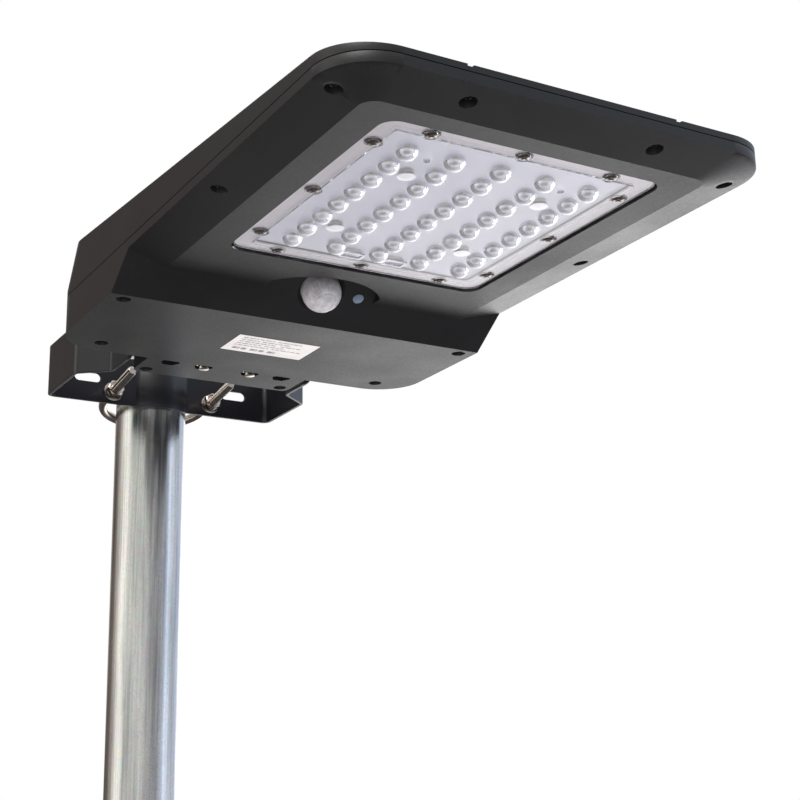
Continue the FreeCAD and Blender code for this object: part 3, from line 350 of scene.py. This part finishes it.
def round_edges(piece, width, segments):
    """Bevel the edges that carry a weight, and keep the flats flat."""
    bevel = piece.modifiers.new("rounded_edges", "BEVEL")
    bevel.limit_method = "WEIGHT"
    bevel.width = width
    bevel.segments = segments
    bevel.use_clamp_overlap = True
    bevel.miter_outer = "MITER_ARC"
    return piece


def rounded(node_name, width, weight=None, segments=2, angle=32):
    """The node again, with its sharp edges rounded; weight scales the width at an edge's middle."""
    bm = welded(node_name)
    layer = bm.edges.layers.float.new("bevel_weight_edge")
    smooth_curves_only(bm)
    for edge in bm.edges:
        if len(edge.link_faces) != 2:
            continue
        turn = math.degrees(edge.calc_face_angle(0))
        if turn > angle:
            middle = (edge.verts[0].co + edge.verts[1].co) / 2
            share = weight(middle) if weight else 1.0
            edge[layer] = share
            if share == 0:
                edge.smooth = False
    piece = put_in(node_name + "_piece", bm, node_name)
    return round_edges(piece, width, segments)


def lathe(bm, profile, place, axis, steps=48, wobble=None, material=0):
    """Turn (radius, depth) points about an axis; a radius of 0 closes an end."""
    axis = Vector(axis).normalized()
    side = axis.orthogonal().normalized()
    up = axis.cross(side)
    rows = []
    for number, (radius, depth) in enumerate(profile):
        centre = Vector(place) + axis * depth
        if radius == 0:
            rows.append([bm.verts.new(centre)])
            continue
        row = []
        for step in range(steps):
            turn = 2 * math.pi * step / steps
            reach = radius
            push = Vector()
            if wobble:
                reach, push = wobble(number, turn, radius)
            spoke = side * math.cos(turn) + up * math.sin(turn)
            row.append(bm.verts.new(centre + spoke * reach + axis * push))
        rows.append(row)
    for first, second in zip(rows, rows[1:]):
        for step in range(steps):
            ahead = (step + 1) % steps
            corners = [first[step % len(first)], first[ahead % len(first)], second[ahead % len(second)],
                       second[step % len(second)]]
            unique = list(dict.fromkeys(corners))
            if len(unique) > 2:
                face = bm.faces.new(unique)
                face.smooth = True
                face.material_index = material
    return rows


# ---------------------------------------------------------------- casings, bracket and plain hardware

FRONT_TOP = 447.9 * MM
TOP_RISE = 33.0 / 435.0
HEAD_FRONT = 635 * MM


def upper_edge(middle):
    """Wide rounding on the outer top rim, slight elsewhere."""
    outer = abs(middle.x) > 135.9 * MM or middle.y < -625.2 * MM or middle.y > -209 * MM
    top = FRONT_TOP + (middle.y + HEAD_FRONT) * TOP_RISE
    if outer and middle.z > top - 0.6 * MM:
        return 1.0
    return 0.18


rounded("upper_housing", 2.2 * MM, upper_edge, 3)
rounded("lower_housing", 0.5 * MM, segments=2)
rounded("clamp_bracket", 0.45 * MM, segments=2)
rounded("tilt_channel", 0.4 * MM, segments=2)
rounded("rating_label", 0.05 * MM, segments=1)
for hardware, radius in (("channel_bolts", 0.45), ("channel_washers", 0.3), ("pivot_nuts", 0.5),
                         ("pivot_bolts", 0.45),
                         ("pivot_washers", 0.3), ("pole_cap", 0.6)):
    rounded(hardware, radius * MM, segments=2)


# ---------------------------------------------------------------- nuts, washers and screws

def hex_reach(turn, flats):
    """Distance from the axis to a hexagon's side."""
    return flats / 2 / math.cos((turn % (math.pi / 3)) - math.pi / 6)


def add_nut(bm, place, axis, flats, height, turned=0.0):
    """Hexagon nut whose corners are chamfered at both ends."""
    profile = [(0, 0), (flats * 0.36, 0.25 * MM), (flats * 0.40, 0), (flats * 0.475, 0)]
    for depth in (0.12, 0.3, 0.5, 0.8, 1.2):
        profile.append((flats * 0.475 + depth * 1.73 * MM, depth * MM))
    profile += [(radius, height - depth) for radius, depth in reversed(profile)]
    lathe(bm, profile, place, axis, 72,
          lambda number, turn, radius: (min(radius, hex_reach(turn + turned, flats)), 0.0))


def add_washer(bm, place, axis, radius, height):
    lip = 0.25 * MM
    profile = [(0, 0), (radius - lip, 0), (radius - 0.07 * MM, 0.08 * MM), (radius, lip),
               (radius, height - lip), (radius - 0.07 * MM, height - 0.08 * MM), (radius - lip, height),
               (0, height)]
    lathe(bm, profile, place, axis, 48)


def add_screw(bm, place, radius, height, shank, length):
    """Pan head with a cross recess, facing down; place is the middle of its seat."""
    rings = 15
    slot = radius * 0.15
    reach = radius * 0.62

    def drop(number, turn, ring):
        if number > rings:
            return ring, 0.0
        x, y = abs(ring * math.cos(turn + 0.6)), abs(ring * math.sin(turn + 0.6))
        if ring < reach and (x < slot or y < slot):
            return ring, height * 0.55 * (1 - 0.5 * ring / reach)
        return ring, 0.0

    profile = [(0, -height + height * 0.6)]
    for index in range(1, rings + 1):
        ring = radius * 0.90 * index / rings
        profile.append((ring, -height * (1 - 0.22 * (ring / radius) ** 3)))
    profile += [(radius * 0.965, -height * 0.70), (radius, -height * 0.5), (radius, -0.1 * MM),
                (radius * 0.97, 0),
                (shank, 0), (shank, length), (0, length)]
    lathe(bm, profile, place, (0, 0, 1), 64, drop)


def mirrored(points):
    """Each (x, y) point in millimetres and its mirror image in the mid-plane."""
    return [(side * x * MM, y * MM) for x, y in points for side in ((1, -1) if x else (1,))]


def build_screws(name, node_name, places, seat, radius, height, shank, length):
    bm = bmesh.new()
    for x, y in places:
        add_screw(bm, (x, y, seat * MM), radius * MM, height * MM, shank * MM, length * MM)
    bmesh.ops.recalc_face_normals(bm, faces=bm.faces)
    sharpen(bm, 35)
    put_in(name, bm, node_name)


def sharpen(bm, angle):
    for edge in bm.edges:
        if len(edge.link_faces) == 2 and math.degrees(edge.calc_face_angle(0)) > angle:
            edge.smooth = False


build_screws("lens_screw_set", "lens_screws",
             mirrored([(85.6, -557), (85.6, -483), (85.6, -409), (62, -580.6), (62, -385.4), (0, -580.6),
                       (0, -385.4)]), 433.6, 4.0, 2.2, 1.5, 5)
build_screws("housing_screw_set", "housing_screws",
             mirrored([(132.8, -599.5), (133.6, -453.1), (62.9, -620.2), (134.1, -294.1), (115.3, -197.3)]),
             439.5, 3.6, 2.6, 1.4, 7)
build_screws("tongue_screw_set", "tongue_screws", mirrored([(58.2, -139.2)]), 427, 3.6, 2.6, 1.4, 6)


# ---------------------------------------------------------------- U-bolt with rolled threads

LEG_X = 44.5 * MM
ROD = 4.0 * MM
TILT = math.radians(8)
PLATE_MID = Vector((0, -24.5 * MM, 432 * MM))
LEG_REACH = 48 * MM
HEEL = (58.95 * MM / math.cos(TILT)) - LEG_X
PITCH = 1.25 * MM
THREADED = 46 * MM


def u_path():
    """(point, tangent, distance from the nearer tip) along the rod's centre line."""
    rear = Vector((0, math.cos(TILT), -math.sin(TILT)))
    across = Vector((1, 0, 0))
    points = []
    straight = LEG_REACH + HEEL
    steps = 330
    for index in range(steps + 1):
        run = straight * index / steps
        points.append((PLATE_MID - across * LEG_X + rear * (run - LEG_REACH), rear, run))
    turns = 64
    for index in range(1, turns):
        turn = math.pi * index / turns
        spot = PLATE_MID + rear * (HEEL + LEG_X * math.sin(turn)) - across * LEG_X * math.cos(turn)
        points.append((spot, rear * math.cos(turn) + across * math.sin(turn), straight))
    for index in range(steps + 1):
        run = straight * (steps - index) / steps
        points.append((PLATE_MID + across * LEG_X + rear * (run - LEG_REACH), -rear, run))
    return points


def build_u_bolt():
    bm = bmesh.new()
    normal = Vector((0, math.sin(TILT), math.cos(TILT)))
    sides = 20
    rows = []
    path = u_path()
    for spot, tangent, run in path:
        out = tangent.cross(normal).normalized()
        row = []
        for step in range(sides):
            turn = 2 * math.pi * step / sides
            radius = ROD
            if run < THREADED:
                phase = (run / PITCH + turn / (2 * math.pi)) % 1
                fade = min(1, (THREADED - run) / (2 * PITCH))
                radius -= 0.55 * MM * fade * (1 - abs(2 * phase - 1)) ** 0.8
            radius = min(radius, 2.9 * MM + run)
            row.append(bm.verts.new(spot + (out * math.cos(turn) + normal * math.sin(turn)) * radius))
        rows.append(row)
    for first, second in zip(rows, rows[1:]):
        for step in range(sides):
            ahead = (step + 1) % sides
            bm.faces.new((first[step], first[ahead], second[ahead], second[step])).smooth = True
    bm.faces.new(rows[0][::-1])
    bm.faces.new(rows[-1])
    bmesh.ops.recalc_face_normals(bm, faces=bm.faces)
    put_in("u_bolt_rod", bm, "u_bolt")


def build_u_bolt_hardware():
    """A washer against the plate and a nut on each leg."""
    washers = bmesh.new()
    nuts = bmesh.new()
    ahead = Vector((0, -math.cos(TILT), math.sin(TILT)))
    for side in (-1, 1):
        leg = PLATE_MID + Vector((side * LEG_X, 0, 0))
        face = leg + Vector((0, -1.5 * MM, 0.2 * MM))
        add_washer(washers, face, (0, -1, 0), 8.2 * MM, 1.6 * MM)
        add_nut(nuts, leg + ahead * 4.2 * MM, ahead, 13 * MM, 6.5 * MM, 0.25 * side)
    for name, bm, node_name in (("washer_set", washers, "u_bolt_washers"), ("nut_set", nuts, "u_bolt_nuts")):
        bmesh.ops.recalc_face_normals(bm, faces=bm.faces)
        sharpen(bm, 28)
        put_in(name, bm, node_name)


def build_channel_nuts():
    """Captive nuts in their hexagonal pockets, with the bolt ends through them."""
    bm = bmesh.new()
    for side in (-1, 1):
        add_nut(bm, (side * 19.7 * MM, -163.7 * MM, 421 * MM), (0, 0, 1), 13 * MM, 6.5 * MM, math.pi / 6)
    bmesh.ops.recalc_face_normals(bm, faces=bm.faces)
    sharpen(bm, 28)
    put_in("channel_nut_set", bm, "channel_nuts")


build_u_bolt()
build_u_bolt_hardware()
build_channel_nuts()


# ---------------------------------------------------------------- lens plate, LEDs and what shows through

LENS_X, LENS_Y = 0.0, -483 * MM
PITCH_X, PITCH_Y = 31.6 * MM, 20.9 * MM
PLATEAU = 431.8 * MM
PLATE_BACK = 434.0 * MM
LEDS = [(LENS_X + (column - 2) * PITCH_X, LENS_Y + (row - 3.5) * PITCH_Y)
        for row in range(8) for column in range(5)]


def build_screw_notch_shade():
    """Black discs at the bottoms of the notches in which the lens screws sit: painted shade that makes the
    notches read dark.
    """
    bm = bmesh.new()
    for x, y in mirrored([(85.6, -557), (85.6, -483), (85.6, -409), (62, -580.6), (62, -385.4), (0, -580.6),
                          (0, -385.4)]):
        # each disc is painted shade: a black sheet put where the notch only lies in shadow
        lathe(bm, [(0, 0), (5.2 * MM, 0), (5.4 * MM, 0.2 * MM), (5.4 * MM, 0.9 * MM), (0, 0.9 * MM)],
              (x, y, 434.1 * MM), (0, 0, 1), 40)
    bmesh.ops.recalc_face_normals(bm, faces=bm.faces)
    put_in("screw_notch_painted_shade", bm, "housing_gasket", replaces=False)


def build_lens_plate():
    """The clear plate with smooth domes and crisp steps."""
    bm = bmesh.new()
    bm.from_mesh(NODES["lens_plate"].data)
    bmesh.ops.remove_doubles(bm, verts=bm.verts, dist=2e-6)
    for face in bm.faces:
        face.smooth = True
    for edge in bm.edges:
        if len(edge.link_faces) == 2 and math.degrees(edge.calc_face_angle(0)) > 30:
            edge.smooth = False
    for face in bm.faces:
        if face.calc_center_median().z < PLATEAU - 0.05 * MM or abs(face.normal.z) < 0.9:
            face.material_index = 1
    for x, y in LEDS:
        radius = 3.0 * MM
        profile = [(0, -radius)]
        for step in range(1, 9):
            turn = math.pi / 2 * step / 8
            profile.append((radius * math.sin(turn), -radius * math.cos(turn)))
        profile.append((0, 0))
        lathe(bm, profile, (x, y, PLATE_BACK - 0.15 * MM), (0, 0, 1), 20)
    return put_in("lens_plate_clear", bm, "lens_plate", extra=(DOME,))


def build_leds():
    """White ceramic packages with a round phosphor each."""
    bm = bmesh.new()
    base = 437.4 * MM
    for x, y in LEDS:
        cube = bmesh.ops.create_cube(bm, size=1)["verts"]
        bmesh.ops.scale(bm, vec=(3.45 * MM, 3.45 * MM, 0.6 * MM), verts=cube)
        bmesh.ops.translate(bm, vec=(x, y, base - 0.3 * MM), verts=cube)
        for face in {face for vert in cube for face in vert.link_faces}:
            face.material_index = 1
        cap = [(0, -0.8 * MM), (0.8 * MM, -0.78 * MM), (1.3 * MM, -0.7 * MM), (1.45 * MM, -0.55 * MM),
               (0, -0.5 * MM)]
        lathe(bm, cap, (x, y, base), (0, 0, 1), 20)
    bmesh.ops.recalc_face_normals(bm, faces=bm.faces)
    put_in("led_packages", bm, "led_chips", extra=(CERAMIC,))


def build_board_details():
    """Standoffs and wire sockets on the LED board, seen through the plate."""
    bm = bmesh.new()
    for x in (-47.2, 47.2):
        for y in (-44.5, 44.5):
            lathe(bm, [(0, 0), (4.2 * MM, 0), (4.6 * MM, 0.4 * MM), (4.6 * MM, 3.3 * MM), (0, 3.3 * MM)],
                  (x * MM, LENS_Y + y * MM, 434.05 * MM), (0, 0, 1), 32)
    for x in (-16, 16):
        cube = bmesh.ops.create_cube(bm, size=1)["verts"]
        bmesh.ops.scale(bm, vec=(12 * MM, 5 * MM, 3.2 * MM), verts=cube)
        bmesh.ops.translate(bm, vec=(x * MM, LENS_Y + 80.4 * MM, 435.75 * MM), verts=cube)
        edges = {edge for vert in cube for edge in vert.link_edges}
        bmesh.ops.bevel(bm, geom=list(edges), offset=0.5 * MM, segments=2, affect="EDGES")
    bmesh.ops.recalc_face_normals(bm, faces=bm.faces)
    put_in("board_fittings", bm, "led_board", slot="socket_plastic", replaces=False)


SEAL_OUTSIDE = (93.0, 104.4, 9.0)     # half width, half length and corner radius, mm
SEAL_INSIDE = (81.5, 93.0, 4.0)
SEAL_BOTTOM = 435.05
SEAL_TOP = 435.95


def build_seal():
    """Pale silicone pad under the whole flange of the plate."""
    bm = bmesh.new()
    loops = []
    outlines = ((SEAL_OUTSIDE, SEAL_BOTTOM), (SEAL_OUTSIDE, SEAL_TOP), (SEAL_INSIDE, SEAL_TOP),
                (SEAL_INSIDE, SEAL_BOTTOM))
    for (half_x, half_y, corner), level in outlines:
        loop = []
        for quarter, (sx, sy) in enumerate(((1, 1), (-1, 1), (-1, -1), (1, -1))):
            for step in range(9):
                turn = math.radians(90 * quarter + 90 * step / 8)
                loop.append(bm.verts.new(((sx * (half_x - corner) + corner * math.cos(turn)) * MM,
                                          LENS_Y + (sy * (half_y - corner) + corner * math.sin(turn)) * MM,
                                          level * MM)))
        loops.append(loop)
    for first, second in zip(loops, loops[1:] + loops[:1]):
        for index in range(len(first)):
            ahead = (index + 1) % len(first)
            bm.faces.new((first[index], first[ahead], second[ahead], second[index]))
    bmesh.ops.recalc_face_normals(bm, faces=bm.faces)
    put_in("lens_seal", bm, "lens_gasket")


# black discs of painted shade at the bottoms of the lens screw notches
build_screw_notch_shade()
lens_plate = build_lens_plate()
build_seal()
build_leds()
build_board_details()


# ---------------------------------------------------------------- motion sensor dome

SLOPE = math.atan2(15.5, 22.8)
SENSOR_IN = Vector((0, math.sin(SLOPE), math.cos(SLOPE)))
SENSOR_PLACE = Vector((0, -327.2 * MM, (431 + 1.9 * math.tan(SLOPE)) * MM))


def build_dome():
    """Milky dome moulded in rings of small lens facets, with its skirt and flange."""
    bm = bmesh.new()
    centre = -1.0 * MM
    outer = 14 * MM
    inner = 12.8 * MM
    rings = [(0, 16, 1), (16, 36, 6), (36, 57, 10), (57, 80, 14)]
    profile = []
    depths = []
    steps = 45
    for index in range(steps + 1):
        turn = 90 * index / steps
        profile.append((outer * math.sin(math.radians(turn)), centre - outer * math.cos(math.radians(turn))))
        depths.append(turn)
    profile += [(outer, 8 * MM), (18 * MM, 8 * MM), (18 * MM, 9.5 * MM), (inner, 9.5 * MM)]
    for index in range(12, 0, -1):
        turn = math.radians(90 * index / 12)
        profile.append((inner * math.sin(turn), centre - inner * math.cos(turn)))
    profile.append((0, centre - inner))

    def facet(number, turn, radius):
        if number > steps:
            return radius, 0.0
        tilt = depths[number]
        for start, stop, count in rings:
            if start <= tilt < stop:
                down = abs(2 * (tilt - start) / (stop - start) - 1)
                if start == 0:
                    down = tilt / stop
                round_way = 0.0
                if count > 1:
                    phase = (turn / (2 * math.pi) * count) % 1
                    round_way = abs(2 * phase - 1)
                groove = max(down ** 6, round_way ** 8) * 0.32 * MM
                lean = math.radians(tilt)
                return radius - groove * math.sin(lean), groove * math.cos(lean)
        return radius, 0.0

    lathe(bm, profile, SENSOR_PLACE, SENSOR_IN, 140, facet)
    bmesh.ops.recalc_face_normals(bm, faces=bm.faces)
    for edge in bm.edges:
        if len(edge.link_faces) == 2 and math.degrees(edge.calc_face_angle(0)) > 40:
            edge.smooth = False
    put_in("pir_dome", bm, "pir_lens")


build_dome()


# ---------------------------------------------------------------- rating label print

def build_print():
    """Plain grey bars and blocks where a label has lines of text; no lettering."""
    bm = bmesh.new()
    low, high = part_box("rating_label")
    width = high.x - low.x
    depth = high.y - low.y
    rows = [(0.10, (0.08, 0.46), (0.50, 0.80)), (0.22, (0.08, 0.30), (0.34, 0.70)),
            (0.34, (0.08, 0.55), (0.59, 0.86)),
            (0.46, (0.08, 0.38), (0.42, 0.66)), (0.58, (0.08, 0.50), (0.54, 0.90))]
    blocks = []
    for place, *spans in rows:
        for start, stop in spans:
            cursor = start
            count = 0
            while cursor < stop - 0.02:
                long = 0.030 + 0.022 * ((count * 7 + int(place * 100)) % 3)
                blocks.append((cursor, min(cursor + long, stop), place, place + 0.045))
                cursor += long + 0.014
                count += 1
    for index in range(5):
        start = 0.10 + 0.11 * index
        blocks.append((start, start + 0.06, 0.74, 0.86))
        if index % 2 == 0:
            blocks.append((start + 0.07, start + 0.09, 0.74, 0.86))
    level = low.z - 0.02 * MM
    for u0, u1, v0, v1 in blocks:
        sides = ((u0, v0), (u1, v0), (u1, v1), (u0, v1))
        corners = [(low.x + u * width, low.y + v * depth) for u, v in sides]
        bottom = [bm.verts.new((x, y, level)) for x, y in corners]
        top = [bm.verts.new((x, y, low.z + 0.05 * MM)) for x, y in corners]
        bm.faces.new(bottom)
        bm.faces.new(top[::-1])
        for index in range(4):
            ahead = (index + 1) % 4
            bm.faces.new((bottom[index], top[index], top[ahead], bottom[ahead]))
    bmesh.ops.recalc_face_normals(bm, faces=bm.faces)
    piece = put_in("label_print", bm, "rating_label", replaces=False)
    piece.data.materials.clear()
    piece.data.materials.append(INK)


build_print()


# ---------------------------------------------------------------- floor, light and camera

def build_floor():
    bpy.ops.mesh.primitive_plane_add(size=12, location=(0, 0, -0.0005))
    floor = bpy.context.object
    floor.name = "floor"
    surface = Surface("floor_paper", Roughness=0.9, Specular_IOR_Level=0.1)
    grain = surface.noise(30 * MM, 4)
    surface.drive("Base Color",
                  surface.mix(surface.remap(grain, 0, 1), (0.80, 0.80, 0.80), (0.83, 0.83, 0.83)))
    floor.data.materials.append(surface.material)
    floor.visible_glossy = False
    floor.visible_diffuse = False
    floor.visible_shadow = False


# Tone of the studio wall at each heading: degrees from +Y towards +X, and colour.
STUDIO_WALL = [(-180, (0.50, 0.50, 0.51)), (-150, (0.84, 0.84, 0.83)), (-122, (0.74, 0.75, 0.72)),
               (-98, (0.74, 0.74, 0.70)), (-84, (1.60, 1.56, 1.48)), (-70, (1.60, 1.52, 1.42)),
               (-60, (0.88, 0.82, 0.77)), (-48, (0.56, 0.50, 0.46)), (-38, (0.26, 0.21, 0.19)),
               (-28, (0.14, 0.112, 0.102)), (-5, (0.10, 0.09, 0.087)), (8, (0.08, 0.077, 0.077)),
               (16, (0.14, 0.135, 0.135)), (24, (1.00, 0.98, 0.97)), (33, (1.55, 1.52, 1.50)),
               (50, (0.95, 0.96, 1.00)), (64, (0.62, 0.70, 0.90)), (90, (0.64, 0.70, 0.86)),
               (114, (0.74, 0.78, 0.86)), (123, (1.05, 1.20, 1.50)), (130, (1.05, 1.20, 1.50)),
               (138, (0.46, 0.50, 0.58)), (150, (0.38, 0.39, 0.44)), (166, (0.40, 0.40, 0.42)),
               (180, (0.50, 0.50, 0.51))]


def build_world():
    """White backdrop for the camera; reflections come from soft studio walls that differ in tone."""
    world = bpy.data.worlds.new("studio")
    bpy.context.scene.world = world
    world.use_nodes = True
    tree = world.node_tree
    tree.nodes.clear()

    def add(kind, **settings):
        item = tree.nodes.new("ShaderNode" + kind)
        for key, value in settings.items():
            setattr(item, key, value)
        return item

    def scale(value, start, stop, low, high):
        item = add("MapRange", interpolation_type="SMOOTHSTEP")
        tree.links.new(value, item.inputs["Value"])
        for key, number in (("From Min", start), ("From Max", stop), ("To Min", low), ("To Max", high)):
            item.inputs[key].default_value = number
        return item.outputs["Result"]

    way = add("TexCoord").outputs["Generated"]
    parts = add("SeparateXYZ")
    tree.links.new(way, parts.inputs[0])
    angle = add("Math", operation="ARCTAN2")
    tree.links.new(parts.outputs["X"], angle.inputs[0])
    tree.links.new(parts.outputs["Y"], angle.inputs[1])
    turn = add("MapRange")
    tree.links.new(angle.outputs[0], turn.inputs["Value"])
    turn.inputs["From Min"].default_value = -math.pi
    turn.inputs["From Max"].default_value = math.pi
    ring = add("ValToRGB")
    tree.links.new(turn.outputs["Result"], ring.inputs["Fac"])
    bar = ring.color_ramp.elements
    while len(bar) < len(STUDIO_WALL):
        bar.new(0.5)
    for element, (degrees, color) in zip(bar, STUDIO_WALL):
        element.position = (degrees + 180) / 360
        element.color = (*color, 1)
    ground = scale(parts.outputs["Z"], -0.55, -0.22, 0.0, 1.0)
    sky = scale(parts.outputs["Z"], 0.35, 0.85, 0.0, 1.0)
    mixes = []
    for fac, index, color in ((ground, 6, (0.08, 0.08, 0.085)), (sky, 7, (0.90, 0.92, 0.95))):
        item = add("Mix", data_type="RGBA")
        tree.links.new(fac, item.inputs[0])
        item.inputs[index].default_value = (*color, 1)
        source = mixes[-1].outputs[2] if mixes else ring.outputs["Color"]
        tree.links.new(source, item.inputs[13 - index])
        mixes.append(item)
    light = mixes[-1].outputs[2]
    for heading, drop, wide, narrow, color in ((50, -0.14, 0.88, 0.975, (1.35, 1.33, 1.33)),
                                               (2, 0.28, 0.965, 0.992, (0.36, 0.31, 0.28))):
        aim = add("VectorMath", operation="DOT_PRODUCT")
        tree.links.new(way, aim.inputs[0])
        heading = math.radians(heading)
        aim.inputs[1].default_value = Vector((math.sin(heading), math.cos(heading), drop)).normalized()
        spot = add("Mix", data_type="RGBA", blend_type="ADD")
        tree.links.new(scale(aim.outputs["Value"], wide, narrow, 0.0, 1.0), spot.inputs[0])
        tree.links.new(light, spot.inputs[6])
        spot.inputs[7].default_value = (*color, 1)
        light = spot.outputs[2]
    studio = add("Background")
    tree.links.new(light, studio.inputs["Color"])
    paper = add("Background")
    paper.inputs["Color"].default_value = (1, 1, 1, 1)
    seen = add("LightPath").outputs["Is Camera Ray"]
    choice = add("MixShader")
    tree.links.new(seen, choice.inputs[0])
    tree.links.new(studio.outputs[0], choice.inputs[1])
    tree.links.new(paper.outputs[0], choice.inputs[2])
    output = add("OutputWorld")
    tree.links.new(choice.outputs[0], output.inputs["Surface"])


def add_light(name, place, target, size, power, color, glossy=True):
    light = bpy.data.lights.new(name, "AREA")
    light.shape = "RECTANGLE"
    light.size, light.size_y = size
    light.energy = power
    light.color = color
    item = bpy.data.objects.new(name, light)
    bpy.context.scene.collection.objects.link(item)
    item.location = place
    item.rotation_euler = (Vector(target) - Vector(place)).to_track_quat("-Z", "Y").to_euler()
    item.visible_camera = False
    item.visible_glossy = glossy
    return item


CAMERA_HEADING = math.radians(30.25)
CAMERA_RISE = math.radians(16.02)
CAMERA_ROLL = math.radians(-1.06)
CAMERA_PLACE = (-0.4788, -1.2556, 0.0525)
CAMERA_LENS = 70.59


def build_camera():
    """The photograph's view: a short telephoto near the mast's foot, looking up at the lamp."""
    level = math.cos(CAMERA_RISE)
    ahead = Vector((math.sin(CAMERA_HEADING) * level, math.cos(CAMERA_HEADING) * level,
                    math.sin(CAMERA_RISE)))
    right = Vector((math.cos(CAMERA_HEADING), -math.sin(CAMERA_HEADING), 0))
    up = right.cross(ahead)
    turn = Matrix.Rotation(-CAMERA_ROLL, 3, ahead)
    right = turn @ right
    up = turn @ up
    camera = bpy.data.cameras.new("camera")
    camera.lens = CAMERA_LENS
    camera.sensor_width = 36
    camera.clip_start = 0.01
    item = bpy.data.objects.new("camera", camera)
    bpy.context.scene.collection.objects.link(item)
    axes = Matrix((right, up, -ahead)).transposed().to_4x4()
    item.matrix_world = Matrix.Translation(CAMERA_PLACE) @ axes
    bpy.context.scene.camera = item


build_floor()
build_world()
add_light("fill_below", (0, -0.6, -0.08), (0, -0.6, 1), (1.6, 1.6), 17, (1, 0.985, 1), glossy=False)
glints = bpy.data.collections.new("glint_receivers")
glints.objects.link(lens_plate)
for name, place, size, power in (("glint_side", (1.30, -0.53, 0.16), (0.34, 1.2), 60),
                                 ("glint_front", (1.10, -1.00, 0.12), (0.16, 1.2), 22)):
    glint = add_light(name, place, (0, -0.48, 0.43), size, power, (1, 0.99, 0.97))
    glint.light_linking.receiver_collection = glints
add_light("key_above", (-1.2, -1.4, 2.2), (0, -0.3, 0.45), (1.2, 1.2), 30, (1, 0.98, 0.96))
build_camera()
bpy.context.scene.view_settings.view_transform = "Standard"
